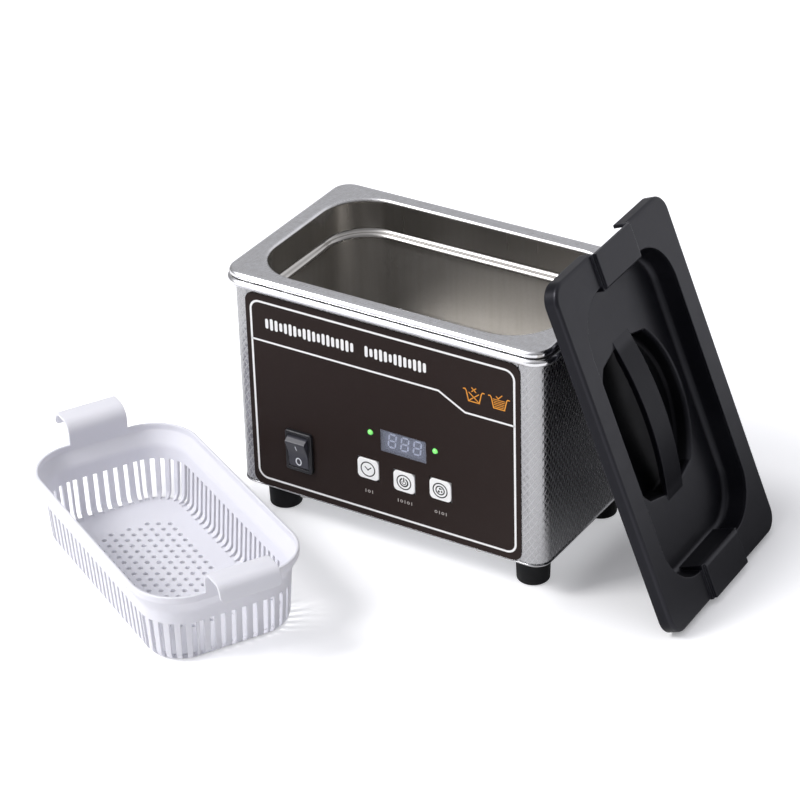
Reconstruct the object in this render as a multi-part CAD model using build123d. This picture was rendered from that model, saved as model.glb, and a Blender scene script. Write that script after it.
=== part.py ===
from build123d import *
import os
import math

os.makedirs("parts", exist_ok=True)

# Small bench ultrasonic cleaner: stainless tank in an embossed stainless case,
# dark control panel on the front, loose black lid and loose white basket.
# Millimetres. Origin: centre of the case footprint on the bench plane.
# +Z up, -Y is the front (control panel), +X is to the right of the panel.

# ---------------------------------------------------------------- dimensions
# Names ending in _X and _Y with an _R beside them are the half sizes and
# corner radius of a rounded rectangle.
SHEET = 0.8                                 # stainless sheet thickness
RIM_X, RIM_Y, RIM_R = 88.2, 54.3, 9.5       # tank flange
RIM_Z = 136.7                               # top of the flange
ROLL_H = 3.7                                # height of the flange's rolled edge
MOUTH_X, MOUTH_Y, MOUTH_R = 78.5, 45.7, 25.0   # tank opening
STEP_IN = 3.3                               # tank narrows by this at the step
STEP_HI, STEP_LO = 120.6, 117.4             # step starts and ends here
FLOOR_Z = 71.7                              # inside floor of the tank
TANK_UNDER = FLOOR_Z - SHEET

CASE_X, CASE_Y, CASE_R = 85.8, 50.9, 7.5    # outside of the case
CASE_Z0, CASE_Z1 = 18.1, 132.6              # bottom edge and top hem
HEM_Z0, HEM_OUT, HEM_R = 128.8, 4.2, 1.85   # round bead at the top of the case
LIP = 4.8                                   # bottom lip turned inwards
WALL_IN = -CASE_Y + SHEET                   # inner face of the front wall
PLATE_Z0 = CASE_Z0 + SHEET                  # bottom plate lies on the lip
PLATE_Z1 = PLATE_Z0 + 1.0

PANEL_X0, PANEL_X1 = -77.2, 74.6            # printed front panel
PANEL_Z0, PANEL_Z1 = 19.2, 126.6
PANEL_T = 0.6
PANEL_FRONT = -CASE_Y - PANEL_T
SWITCH_X, SWITCH_Z = -49.2, 44.9            # rocker switch centre
WINDOW_X, WINDOW_Z, WINDOW_W, WINDOW_H = 10.15, 64.7, 25.5, 12.0
LED_XS, LED_Z, LED_R = (-8.3, 27.9), 67.2, 1.5         # indicator lamps
KEYS = (("timer", -10.0, 46.2), ("power", 10.3, 44.8), ("degas", 30.6, 46.4))   # name, x, z
KEY_W, KEY_H = 12.0, 11.2
MODULE_FRONT = -49.9                        # display face, also front of the key skirts

BOARD_Y, BOARD_T = -41.5, 1.6               # front of the control board, board thickness
BOARD_BACK = BOARD_Y + BOARD_T
DRIVER_Z0 = 27.0                            # underside of the driver board
DRIVER_TOP = DRIVER_Z0 + BOARD_T
BOARD_HOLE_R = 1.35
POST_R, POST_BORE_R = 2.5, 1.25             # board posts

INLET_X, INLET_Z = -48.0, 46.0              # mains inlet centre, on the rear wall
M3_HOLE_R = 1.7                             # clearance holes of the inlet screws
SIDES = (-1, 1)
QUADRANTS = ((1, 1), (-1, 1), (-1, -1), (1, -1))       # counterclockwise from +X +Y


def four(x, y):
    """Four places mirrored in both axes."""
    return [(sx * x, sy * y) for sx in SIDES for sy in SIDES]


PLATE_SCREWS = four(50, 48.5) + [(-83.2, 0), (83.2, 0)]
FEET = four(71.2, 34.0)
INLET_SCREW_XS = [INLET_X + side * 20.0 for side in SIDES]


# ------------------------------------------------------------------- helpers
def block(x0, x1, y0, y1, z0, z1):
    return Pos((x0 + x1) / 2, (y0 + y1) / 2, (z0 + z1) / 2) * Box(
        abs(x1 - x0), abs(y1 - y0), abs(z1 - z0))


def block_y(x, z, half_x, half_z, y0, y1):
    """Block centred on a line along Y."""
    return block(x - half_x, x + half_x, y0, y1, z - half_z, z + half_z)


def block_z(x, y, half_x, half_y, z0, z1):
    """Block centred on a vertical line."""
    return block(x - half_x, x + half_x, y - half_y, y + half_y, z0, z1)


def prism(half_x, half_y, radius, z0, z1):
    return Pos(0, 0, z0) * extrude(RectangleRounded(2 * half_x, 2 * half_y, radius), z1 - z0)


def tile_y(x, y, z, width, height, radius, thickness):
    """Upright rounded rectangle centred on (x, y, z), thick along Y."""
    return Pos(x, y, z) * Rot(90, 0, 0) * extrude(
        RectangleRounded(width, height, radius), thickness / 2, both=True)


def rod(radius, z0, z1, x=0.0, y=0.0):
    return Pos(x, y, (z0 + z1) / 2) * Cylinder(radius, z1 - z0)


def rod_y(radius, y0, y1, x=0.0, z=0.0):
    return Pos(x, (y0 + y1) / 2, z) * Rot(90, 0, 0) * Cylinder(radius, abs(y1 - y0))


def rod_x(radius, x0, x1, y=0.0, z=0.0):
    return Pos((x0 + x1) / 2, y, z) * Rot(0, 90, 0) * Cylinder(radius, abs(x1 - x0))


def outline(points, place):
    """Closed face from (u, v, corner radius) points, put in space by place."""
    count = len(points)
    corners = []                            # arc start, arc middle or None, arc end
    for i, point in enumerate(points):
        px, py = point[:2]
        radius = point[2] if len(point) > 2 else 0.0
        if radius <= 0:
            corners.append(((px, py), None, (px, py)))
            continue
        ax, ay = points[i - 1][0] - px, points[i - 1][1] - py
        bx, by = points[(i + 1) % count][0] - px, points[(i + 1) % count][1] - py
        len_a, len_b = math.hypot(ax, ay), math.hypot(bx, by)
        ax, ay, bx, by = ax / len_a, ay / len_a, bx / len_b, by / len_b
        half = math.acos(max(-1.0, min(1.0, ax * bx + ay * by))) / 2
        setback = radius / math.tan(half)
        mid_x, mid_y = ax + bx, ay + by
        reach = (radius / math.sin(half) - radius) / math.hypot(mid_x, mid_y)
        corners.append(((px + ax * setback, py + ay * setback),
                        (px + mid_x * reach, py + mid_y * reach),
                        (px + bx * setback, py + by * setback)))
    edges = []
    for i, (start, mid, end) in enumerate(corners):
        if mid is not None:
            edges.append(Edge.make_three_point_arc(place(*start), place(*mid), place(*end)))
        following = corners[(i + 1) % count][0]
        if math.hypot(following[0] - end[0], following[1] - end[1]) > 1e-6:
            edges.append(Edge.make_line(place(*end), place(*following)))
    return Face(Wire(edges))


def ring(points, half_x, half_y, radius):
    """Profile (offset outwards, z, radius) carried round a rounded rectangle."""
    core_x, core_y = half_x - radius, half_y - radius
    straight_x = outline(points, lambda u, v: Vector(half_x + u, -core_y, v))
    straight_y = outline(points, lambda u, v: Vector(core_x, half_y + u, v))
    corner = outline(points, lambda u, v: Vector(radius + u, 0, v))
    bar_x = extrude(straight_x, amount=2 * core_y, dir=(0, 1, 0))
    bar_y = extrude(straight_y, amount=2 * core_x, dir=(-1, 0, 0))
    turn = revolve(corner, axis=Axis.Z, revolution_arc=90)
    pieces = [bar_x, mirror(bar_x, about=Plane.YZ), bar_y, mirror(bar_y, about=Plane.XZ)]
    for i, (sx, sy) in enumerate(QUADRANTS):
        pieces.append(Pos(sx * core_x, sy * core_y, 0) * Rot(0, 0, 90 * i) * turn)
    return pieces[0].fuse(*pieces[1:]).clean()


def turned(points):
    """Profile (radius, z, corner radius) revolved about Z."""
    return revolve(outline(points, lambda u, v: Vector(u, 0, v)), axis=Axis.Z)


def pan_screw(head_r, head_h, shank_r, length):
    """Pan head below z = 0, shank above it, cross recess in the head."""
    screw = Pos(0, 0, -head_h / 2) * Cylinder(head_r, head_h)
    screw = fillet(screw.edges().group_by(Axis.Z)[0], min(head_h, head_r) * 0.45)
    screw = screw + Pos(0, 0, length / 2) * Cylinder(shank_r, length)
    for angle in (0, 90):
        screw = screw - Pos(0, 0, -head_h) * Rot(0, 0, angle) * Box(
            head_r * 1.1, head_r * 0.28, head_h * 0.9)
    return screw


def hex_nut(flats, height, bore_r):
    nut = extrude(RegularPolygon(flats / 2, 6, major_radius=False), height)
    return nut - Pos(0, 0, height / 2) * Cylinder(bore_r, height + 2)


def tube(points, radius):
    path = Spline(*[Vector(*p) for p in points])
    return sweep(Plane(origin=path @ 0, z_dir=path % 0) * Circle(radius), path=path)


def round_uprights(shape, radius):
    return fillet(shape.edges().filter_by(Axis.Z), radius)


def save(name, *shapes):
    """Write all solids of the shapes to one STEP file."""
    solids = [solid for shape in shapes for solid in shape.solids()]
    body = solids[0] if len(solids) == 1 else Compound(children=solids)
    export_step(body, "parts/%s.step" % name)


# ---------------------------------------------------------------------- tank
def make_tank():
    inside = [(3.5, RIM_Z), (0, RIM_Z, 1.8), (0, STEP_HI - 1.2, 2.4),
              (-STEP_IN, STEP_LO + 0.6, 2.4), (-STEP_IN, FLOOR_Z, 8.0), (-13.0, FLOOR_Z)]
    outside = [(-13.0, TANK_UNDER), (-STEP_IN + SHEET, TANK_UNDER, 8.8),
               (-STEP_IN + SHEET, STEP_LO + 0.1, 1.6), (SHEET, STEP_HI - 1.7, 3.2),
               (SHEET, RIM_Z - SHEET, 1.0), (3.5, RIM_Z - SHEET)]
    wall = ring(inside + outside, MOUTH_X, MOUTH_Y, MOUTH_R)
    roll = ring([(-2.2, RIM_Z), (0, RIM_Z, 1.8), (0, RIM_Z - ROLL_H, 1.8),
                 (-2.2, RIM_Z - ROLL_H, 0.4)], RIM_X, RIM_Y, RIM_R)
    # flange and floor overlap the wall and roll profiles slightly so that they fuse
    flange = prism(RIM_X - 2.1, RIM_Y - 2.1, RIM_R - 2.1, RIM_Z - SHEET, RIM_Z) \
        - prism(MOUTH_X + 3.4, MOUTH_Y + 3.4, MOUTH_R + 3.4, RIM_Z - 2, RIM_Z + 1)
    floor = prism(MOUTH_X - 12.8, MOUTH_Y - 12.8, MOUTH_R - 12.8, TANK_UNDER, FLOOR_Z)
    return wall.fuse(roll, flange, floor).clean()


save("tank", make_tank())

# flat ring of sealant between the case hem and the tank flange
save("tank_seal",
     prism(RIM_X - 0.9, RIM_Y - 0.9, RIM_R - 0.9, CASE_Z1, RIM_Z - ROLL_H)
     - prism(RIM_X - 2.6, RIM_Y - 2.6, RIM_R - 2.6, CASE_Z1 - 1, RIM_Z))


# ---------------------------------------------------------------------- case
def front_cuts(y0, y1, window_half_x, window_half_z):
    """Openings shared by the case front and the panel: switch, window, lamps, keys."""
    cuts = [block_y(SWITCH_X, SWITCH_Z, 6.6, 10.1, y0, y1),
            block_y(WINDOW_X, WINDOW_Z, window_half_x, window_half_z, y0, y1)]
    cuts += [rod_y(LED_R + 0.15, y0, y1, x, LED_Z) for x in LED_XS]
    cuts += [block_y(x, z, KEY_W / 2 + 0.2, KEY_H / 2 + 0.2, y0, y1) for _, x, z in KEYS]
    return cuts


def plate_screw_holes(z0, z1):
    return [rod(1.2, z0, z1, x, y) for x, y in PLATE_SCREWS]


def make_case():
    case = ring([(-LIP, CASE_Z0), (0.5, CASE_Z0, 0.6), (0.5, CASE_Z0 + 1.0, 0.3),
                 (0, CASE_Z0 + 1.0), (0, HEM_Z0), (HEM_OUT, HEM_Z0, HEM_R),
                 (HEM_OUT, CASE_Z1, HEM_R), (-SHEET, CASE_Z1, 0.3),
                 (-SHEET, PLATE_Z0), (-LIP, PLATE_Z0)],
                CASE_X, CASE_Y, CASE_R)
    rear = (CASE_Y - 2, CASE_Y + 2)
    cuts = front_cuts(-CASE_Y - 2, WALL_IN + 1, 11.6, 5.2)
    cuts.append(block_y(INLET_X, INLET_Z, 14.0, 10.3, *rear))
    cuts += [rod_y(M3_HOLE_R, *rear, x, INLET_Z) for x in INLET_SCREW_XS]
    cuts += plate_screw_holes(CASE_Z0 - 1, CASE_Z0 + 2)
    return case.cut(*cuts)


def make_bottom_plate():
    inset = SHEET + 0.2
    plate = prism(CASE_X - inset, CASE_Y - inset, CASE_R - inset, PLATE_Z0, PLATE_Z1)
    holes = plate_screw_holes(PLATE_Z0 - 1, PLATE_Z1 + 1)
    holes += [rod(1.6, PLATE_Z0 - 1, PLATE_Z1 + 1, x, y) for x, y in FEET]
    # two columns of nine slots
    for k in range(9):
        for x in (-48, 48):
            holes.append(Pos(x, -18 + k * 4.5, (PLATE_Z0 + PLATE_Z1) / 2)
                         * extrude(SlotOverall(26, 2.2), 4, both=True))
    return plate.cut(*holes)


save("case_shell", make_case())
save("bottom_plate", make_bottom_plate())
save("bottom_plate_screws", *[Pos(x, y, CASE_Z0) * pan_screw(2.15, 1.4, 1.1, 5.0)
                              for x, y in PLATE_SCREWS])

# ---------------------------------------------------------------------- feet
FOOT_R1, FOOT_R0 = 8.85, 8.15               # radius at the top and bottom
FOOT_SEAT_Z = 10.0                          # screw head bears here, in the hollow
FOOT_BORE_R, FOOT_HOLLOW_R = 1.7, 4.6
foot = turned([(FOOT_BORE_R, FOOT_SEAT_Z), (FOOT_HOLLOW_R, FOOT_SEAT_Z), (FOOT_HOLLOW_R, 0),
               (FOOT_R0, 0, 1.0), (FOOT_R1, PLATE_Z0), (FOOT_BORE_R, PLATE_Z0)])
save("feet", *[Pos(x, y, 0) * foot for x, y in FEET])
save("foot_screws", *[Pos(x, y, FOOT_SEAT_Z) * pan_screw(3.0, 2.2, 1.5, 14.0)
                      for x, y in FEET])

# --------------------------------------------------------------- front panel
panel = tile_y((PANEL_X0 + PANEL_X1) / 2, -CASE_Y - PANEL_T / 2, (PANEL_Z0 + PANEL_Z1) / 2,
               PANEL_X1 - PANEL_X0, PANEL_Z1 - PANEL_Z0, 5.0, PANEL_T)
save("panel_overlay", panel.cut(*front_cuts(PANEL_FRONT - 1, -CASE_Y + 1,
                                            WINDOW_W / 2, WINDOW_H / 2)))

# ------------------------------------------------------------------- display
save("display_window", block_y(WINDOW_X, WINDOW_Z, WINDOW_W / 2 - 0.05,
                               WINDOW_H / 2 - 0.05, PANEL_FRONT + 0.1, -CASE_Y))
save("display_module", block_y(WINDOW_X, WINDOW_Z, 11.25, 5.95, MODULE_FRONT, BOARD_Y))

DIGIT_PITCH = 7.0
SEGMENT_W = 0.42                            # half width of a bar
SEGMENT_T = 0.12                            # stands this far off the module face
DIGIT_SLANT = 0.12                          # shift in X per mm of height


def segment(x, z, length, upright):
    """One bar of a digit, pointed at both ends, on the module face."""
    tip, shoulder = length / 2, length / 2 - SEGMENT_W
    points = [(-tip, 0), (-shoulder, SEGMENT_W), (shoulder, SEGMENT_W),
              (tip, 0), (shoulder, -SEGMENT_W), (-shoulder, -SEGMENT_W)]
    if upright:
        points = [(v, u) for u, v in points]
    face = outline([(x + u + DIGIT_SLANT * (z + v - WINDOW_Z), z + v) for u, v in points],
                   lambda u, v: Vector(u, MODULE_FRONT, v))
    return extrude(face, amount=SEGMENT_T, dir=(0, -1, 0))


def digit(x):
    bars = [segment(x, WINDOW_Z + dz, 3.3, False) for dz in (-3.6, 0, 3.6)]
    return bars + [segment(x + side * 1.95, WINDOW_Z + dz, 3.1, True)
                   for side in SIDES for dz in (-1.8, 1.8)]


save("display_segments", *[bar for k in (-1, 0, 1)
                           for bar in digit(WINDOW_X + k * DIGIT_PITCH)])

# ----------------------------------------------------------- indicator lamps
LED_TIP, LED_BACK = -51.0, -46.0            # dome centre and back of the base
save("indicator_leds", *[rod_y(LED_R, LED_TIP, LED_BACK, x, LED_Z)
                         + Pos(x, LED_TIP, LED_Z) * Sphere(LED_R)
                         + rod_y(1.9, LED_BACK - 0.8, LED_BACK, x, LED_Z) for x in LED_XS])
save("led_legs", *[block_y(x + side * 0.9, LED_Z, 0.25, 0.25, LED_BACK, BOARD_Y)
                   for x in LED_XS for side in SIDES])

# ------------------------------------------------------------- rocker switch
PIVOT_Y = -50.0                             # rocker pivot line
ROCKER_TILT = 13.0                          # degrees
BEZEL_T = 2.0
BEZEL_FRONT = PANEL_FRONT - BEZEL_T
SWITCH_BACK = -33.5
TERMINAL_END = -26.0                        # rear tips of the terminals
TERMINAL_DZ = 4.5                           # above and below the switch centre
ROCKER_W = 11.0
# (distance behind the pivot, height above it, corner radius)
ROCKER_PROFILE = [
    (-5.2, -7.9, 0.7), (-4.0, 0, 12.0), (-5.2, 7.9, 0.7), (-2.5, 9.05, 1.0),
    (0.8, 8.9, 0.8), (1.4, 3.5, 1.5), (4.6, 2.2, 1.2), (4.6, -2.2, 1.2),
    (1.4, -3.5, 1.5), (0.8, -8.9, 0.8), (-2.5, -9.05, 1.0)]


def pivot_rod(radius, half_length):
    """Rod along X on the pivot line."""
    return rod_x(radius, SWITCH_X - half_length, SWITCH_X + half_length, PIVOT_Y, SWITCH_Z)


def make_switch_housing():
    housing = tile_y(SWITCH_X, (PANEL_FRONT + BEZEL_FRONT) / 2, SWITCH_Z,
                     15.0, 22.2, 1.2, BEZEL_T)
    housing = fillet(housing.edges().group_by(Axis.Y)[0], 0.6)
    housing = housing + block_y(SWITCH_X, SWITCH_Z, 6.5, 10.0, PANEL_FRONT, SWITCH_BACK)
    housing = housing - block_y(SWITCH_X, SWITCH_Z, 5.7, 9.2, BEZEL_FRONT - 1, -36.0)
    # round room for the ends of the rocker, then the pin hole
    housing = housing - pivot_rod(9.75, 5.7)
    return housing - pivot_rod(0.85, 6.3)


def make_rocker():
    face = outline(ROCKER_PROFILE, lambda u, v: Vector(SWITCH_X - ROCKER_W / 2,
                                                       PIVOT_Y + u, SWITCH_Z + v))
    rocker = extrude(face, amount=ROCKER_W, dir=(1, 0, 0)) - pivot_rod(0.9, 6)
    # lower end pressed home: upper end stands out of the bezel
    return rocker.rotate(Axis((SWITCH_X, PIVOT_Y, SWITCH_Z), (1, 0, 0)), ROCKER_TILT)


save("switch_housing", make_switch_housing())
save("switch_rocker", make_rocker())
save("switch_pivot_pin", pivot_rod(0.8, 6.25))
save("switch_terminals", *[block_y(SWITCH_X, SWITCH_Z + side * TERMINAL_DZ, 2.4, 0.4,
                                   SWITCH_BACK, TERMINAL_END) for side in SIDES])

# ---------------------------------------------------------------------- keys
SKIRT_BACK = -49.0                          # back of the skirt behind the case wall
STEM_BACK = -46.8                           # key stem meets the plunger here


def make_key(x, z):
    cap = tile_y(x, -50.95, z, KEY_W, KEY_H, 2.4, 2.1)
    cap = fillet(cap.edges().group_by(Axis.Y)[0], 0.4)
    cap = cap + block_y(x, z, 6.6, 6.3, MODULE_FRONT, SKIRT_BACK)
    return cap + rod_y(2.4, SKIRT_BACK, STEM_BACK, x, z)


for key_name, x, z in KEYS:
    save("key_" + key_name, make_key(x, z))
    save("tact_plunger_" + key_name, rod_y(1.7, STEM_BACK, -44.1, x, z))
save("tact_switches", *[block_y(x, z, 3, 3, -45.3, BOARD_Y)
                        - rod_y(1.8, -46, -43.3, x, z) for _, x, z in KEYS])

# ------------------------------------------------------------- control board
CONTROL_HOLES = [(-20, 33.5), (40, 33.5), (-20, 68.0), (40, 68.0)]    # x, z
control_board = block(-23.5, 43.5, BOARD_Y, BOARD_BACK, 30.0, 71.6)
save("control_board", control_board.cut(*[
    rod_y(BOARD_HOLE_R, BOARD_Y - 1, BOARD_Y + 3, x, z) for x, z in CONTROL_HOLES]))
save("control_board_posts", *[rod_y(POST_R, WALL_IN, BOARD_Y, x, z)
                              - rod_y(POST_BORE_R, -47.0, BOARD_Y + 1, x, z)
                              for x, z in CONTROL_HOLES])
save("controller_chip", block(4, 22, BOARD_BACK, BOARD_BACK + 2.6, 52, 60))
save("control_board_connector",
     block(-15, 1, BOARD_BACK, BOARD_BACK + 5.5, 33, 38.5)
     - block(-14.2, 0.2, BOARD_BACK + 1.5, BOARD_BACK + 6, 33.8, 37.7))

# ---------------------------------------------------- transducer under tank
PIEZO_R, PIEZO_T = 19.0, 5.0
ELECTRODE_T = 0.3
BOND_R, BOND_T = 22.0, 0.3
STACK_TOP = TANK_UNDER - 18.3               # underside of the front mass
LAYER_T = ELECTRODE_T + PIEZO_T             # one electrode plate and one ring
BACK_TOP = STACK_TOP - 2 * LAYER_T
BACK_H, BOLT_HEAD_H = 13.0, 6.0
TAB_Y = 5                                   # electrode tabs at +TAB_Y, then -TAB_Y

save("transducer_bond", rod(BOND_R, TANK_UNDER - BOND_T, TANK_UNDER))
save("transducer_front_mass", turned([
    (5.0, STACK_TOP), (PIEZO_R, STACK_TOP), (PIEZO_R, TANK_UNDER - 14.0),
    (BOND_R, TANK_UNDER - 5.0), (BOND_R, TANK_UNDER - BOND_T), (0, TANK_UNDER - BOND_T),
    (0, TANK_UNDER - 3.0), (5.0, TANK_UNDER - 3.0)]))
electrodes, piezos = [], []
for k, tab_y in enumerate((TAB_Y, -TAB_Y)):
    top = STACK_TOP - k * LAYER_T
    under = top - ELECTRODE_T
    electrode = rod(PIEZO_R, under, top) \
        + block(PIEZO_R - 3, PIEZO_R + 6.5, tab_y - 2, tab_y + 2, under, top)
    electrodes.append(electrode - rod(5.4, top - 1, top + 1))
    piezos.append(rod(PIEZO_R, under - PIEZO_T, under) - rod(7.5, under - 6, under + 1))
save("electrode_plates", *electrodes)
save("piezo_rings", *piezos)
save("transducer_back_mass", turned([(5.3, BACK_TOP - BACK_H),
                                     (PIEZO_R, BACK_TOP - BACK_H, 0.8),
                                     (PIEZO_R, BACK_TOP), (5.3, BACK_TOP)]))
bolt_head = extrude(RegularPolygon(7.5, 6, major_radius=False), BOLT_HEAD_H)
save("transducer_bolt", Pos(0, 0, BACK_TOP - BACK_H - BOLT_HEAD_H) * bolt_head
     + rod(4.9, BACK_TOP - 14, TANK_UNDER - 5.0))

# -------------------------------------------------------------- driver board
DRIVER_HOLES = [(34, -31), (34, 31), (77, -21), (77, 21)]
driver_board = block(30, 80, -37, 37, DRIVER_Z0, DRIVER_TOP)
save("driver_board", driver_board.cut(*[
    rod(BOARD_HOLE_R, DRIVER_Z0 - 1, DRIVER_TOP + 1, x, y) for x, y in DRIVER_HOLES]))
save("driver_board_posts", *[rod(POST_R, PLATE_Z1, DRIVER_Z0, x, y)
                             - rod(POST_BORE_R, PLATE_Z1 + 1.5, DRIVER_Z0 + 1, x, y)
                             for x, y in DRIVER_HOLES])
board_screw = pan_screw(2.2, 1.5, 1.2, 6.0)
save("board_screws",
     *[Pos(x, BOARD_BACK, z) * Rot(90, 0, 0) * board_screw for x, z in CONTROL_HOLES],
     *[Pos(x, y, DRIVER_TOP) * Rot(180, 0, 0) * board_screw for x, y in DRIVER_HOLES])

CORE_X, CORE_Y = 49.5, 14.0                 # transformer centre
core = block_z(CORE_X, CORE_Y, 11, 5.5, DRIVER_TOP + 1.0, DRIVER_TOP + 20)
for side in SIDES:                          # winding windows
    core = core - block(CORE_X + side * 3.0, CORE_X + side * 7.7, CORE_Y - 6, CORE_Y + 6,
                        DRIVER_TOP + 4.2, DRIVER_TOP + 16.8)
save("transformer_core", core)
coil = block_z(CORE_X, CORE_Y, 7.6, 9.5, DRIVER_TOP + 4.3, DRIVER_TOP + 16.7)
coil = round_uprights(coil, 3.0)
save("transformer_coil",
     coil - block_z(CORE_X, CORE_Y, 3.05, 5.55, DRIVER_TOP, DRIVER_TOP + 30))
save("toroid_choke", Pos(49.5, -14, DRIVER_TOP + 10.6) * Rot(90, 0, 0) * Torus(7.2, 3.3))
save("film_capacitors",
     round_uprights(block(39.5, 57.5, 27.5, 35.5, DRIVER_TOP, DRIVER_TOP + 14), 0.8),
     round_uprights(block(39.5, 55.5, -27.5, -21.0, DRIVER_TOP, DRIVER_TOP + 11), 0.8))


def electrolytic(x, y):
    can = rod(6.5, DRIVER_TOP, DRIVER_TOP + 22, x, y)
    return fillet(can.edges().group_by(Axis.Z)[-1], 0.8)


save("electrolytic_capacitors", electrolytic(66.0, 28.5), electrolytic(66.0, -28.5))

# heatsink with two transistors screwed to its -X face
HEATSINK_X, HEATSINK_H = 68.0, 26
TAB_FRONT = HEATSINK_X - 1.3                # -X face of the transistor tabs
TRANSISTOR_YS = (-8, 8)
TRANSISTOR_HOLE_Z = DRIVER_TOP + 17.5


def make_heatsink():
    sink = block(HEATSINK_X, 70.5, -15, 15, DRIVER_TOP, DRIVER_TOP + HEATSINK_H)
    for k in range(7):
        fin_y = -15 + k * 4.75
        sink = sink + block(70.4, 79.0, fin_y, fin_y + 1.5, DRIVER_TOP,
                            DRIVER_TOP + HEATSINK_H)
    for y in TRANSISTOR_YS:
        sink = sink - rod_x(1.6, 60, 74.5, y, TRANSISTOR_HOLE_Z)
    return sink


def make_transistor(y):
    """Metal tab, body and three legs."""
    foot_z = DRIVER_TOP + 5
    part = block(TAB_FRONT, HEATSINK_X, y - 5, y + 5, foot_z, DRIVER_TOP + 20.5) \
        + block(63.6, TAB_FRONT + 0.1, y - 5, y + 5, foot_z, DRIVER_TOP + 14)
    part = part - rod_x(1.6, 62, 69, y, TRANSISTOR_HOLE_Z)
    for k in (-1, 0, 1):
        part = part + block_z(65.3, y + k * 2.54, 0.3, 0.4, DRIVER_TOP, foot_z + 0.1)
    return part


save("heatsink", make_heatsink())
save("power_transistors", *[make_transistor(y) for y in TRANSISTOR_YS])
save("transistor_screws", *[Pos(TAB_FRONT, y, TRANSISTOR_HOLE_Z) * Rot(0, 90, 0)
                            * pan_screw(2.7, 1.9, 1.5, 6.5) for y in TRANSISTOR_YS])

FUSE_X, FUSE_Y, FUSE_Z = 48.0, -32.0, DRIVER_TOP + 5.2


def make_fuse_clip(x):
    clip = block_z(x, FUSE_Y, 2.2, 3.2, DRIVER_TOP, FUSE_Z + 1.8)
    clip = clip - rod_x(2.65, x - 3, x + 3, FUSE_Y, FUSE_Z) \
        - block_z(x, FUSE_Y, 3, 2.0, FUSE_Z, FUSE_Z + 4)
    return clip - block_z(x, FUSE_Y, 3, 2.6, DRIVER_TOP + 0.6, FUSE_Z - 1.0)


save("fuse", rod_x(2.6, FUSE_X - 10, FUSE_X + 10, FUSE_Y, FUSE_Z))
save("fuse_clips", *[make_fuse_clip(FUSE_X + side * 7.3) for side in SIDES])

PLUG_X = 34.0                               # row of connectors
save("driver_connectors", *[
    block_z(PLUG_X, y, 3.0, width / 2, DRIVER_TOP, DRIVER_TOP + 8.0)
    - block_z(PLUG_X, y, 2.2, width / 2 - 0.8, DRIVER_TOP + 2, DRIVER_TOP + 9)
    for y, width in ((0.0, 8.0), (-20.0, 11.0), (20.0, 8.0))])

# --------------------------------------------------------------- mains inlet
FLANGE_T = 2.4
INLET_PINS = [(INLET_X - 7, INLET_Z - 2), (INLET_X, INLET_Z + 2.5),
              (INLET_X + 7, INLET_Z - 2)]   # x, z
PIN_END = CASE_Y - 22.0                     # inner ends of the pins


def make_inlet():
    inlet = tile_y(INLET_X, CASE_Y + FLANGE_T / 2, INLET_Z, 49.0, 23.0, 5.0, FLANGE_T) \
        + block_y(INLET_X, INLET_Z, 13.8, 10.1, CASE_Y - 15.0, CASE_Y + 0.1)
    inlet = inlet - block_y(INLET_X, INLET_Z, 12.1, 8.0, CASE_Y - 12.5, CASE_Y + 4)
    inlet = inlet.cut(*[rod_y(M3_HOLE_R, CASE_Y - 2, CASE_Y + 4, x, INLET_Z)
                        for x in INLET_SCREW_XS])
    return inlet.cut(*[block_y(x, z, 1.05, 2.05, CASE_Y - 16, CASE_Y - 10)
                       for x, z in INLET_PINS])


save("inlet_socket", make_inlet())
save("inlet_pins", *[block_y(x, z, 1.0, 2.0, PIN_END, CASE_Y - 3.0) for x, z in INLET_PINS])
save("inlet_screws", *[Pos(x, CASE_Y + FLANGE_T, INLET_Z) * Rot(90, 0, 0)
                       * pan_screw(2.9, 1.8, 1.5, 10.0) for x in INLET_SCREW_XS])
m3_nut = hex_nut(5.5, 2.4, 1.55)
save("m3_nuts",
     *[Pos(x, y, PLATE_Z1) * m3_nut for x, y in FEET],
     *[Pos(x, CASE_Y - SHEET, INLET_Z) * Rot(90, 0, 0) * m3_nut for x in INLET_SCREW_XS])

EARTH_X, EARTH_Y = -70.0, 8.0
save("earth_stud", rod(2.0, PLATE_Z1, PLATE_Z1 + 12, EARTH_X, EARTH_Y)
     + rod(3.5, PLATE_Z1, PLATE_Z1 + 1.2, EARTH_X, EARTH_Y))
save("earth_nut", Pos(EARTH_X, EARTH_Y, PLATE_Z1 + 5.0) * hex_nut(7.0, 3.2, 2.05))


# -------------------------------------------------------------------- wiring
def from_pin(pin):
    """First two points of a wire leaving an inlet pin."""
    x, z = pin
    return [(x, PIN_END - 0.5, z), (x, PIN_END - 4, z)]


def to_plug(y, end):
    """Last two points of a wire coming down on a connector."""
    return [(PLUG_X, y, DRIVER_TOP + z) for z in (12.5, end)]


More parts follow.
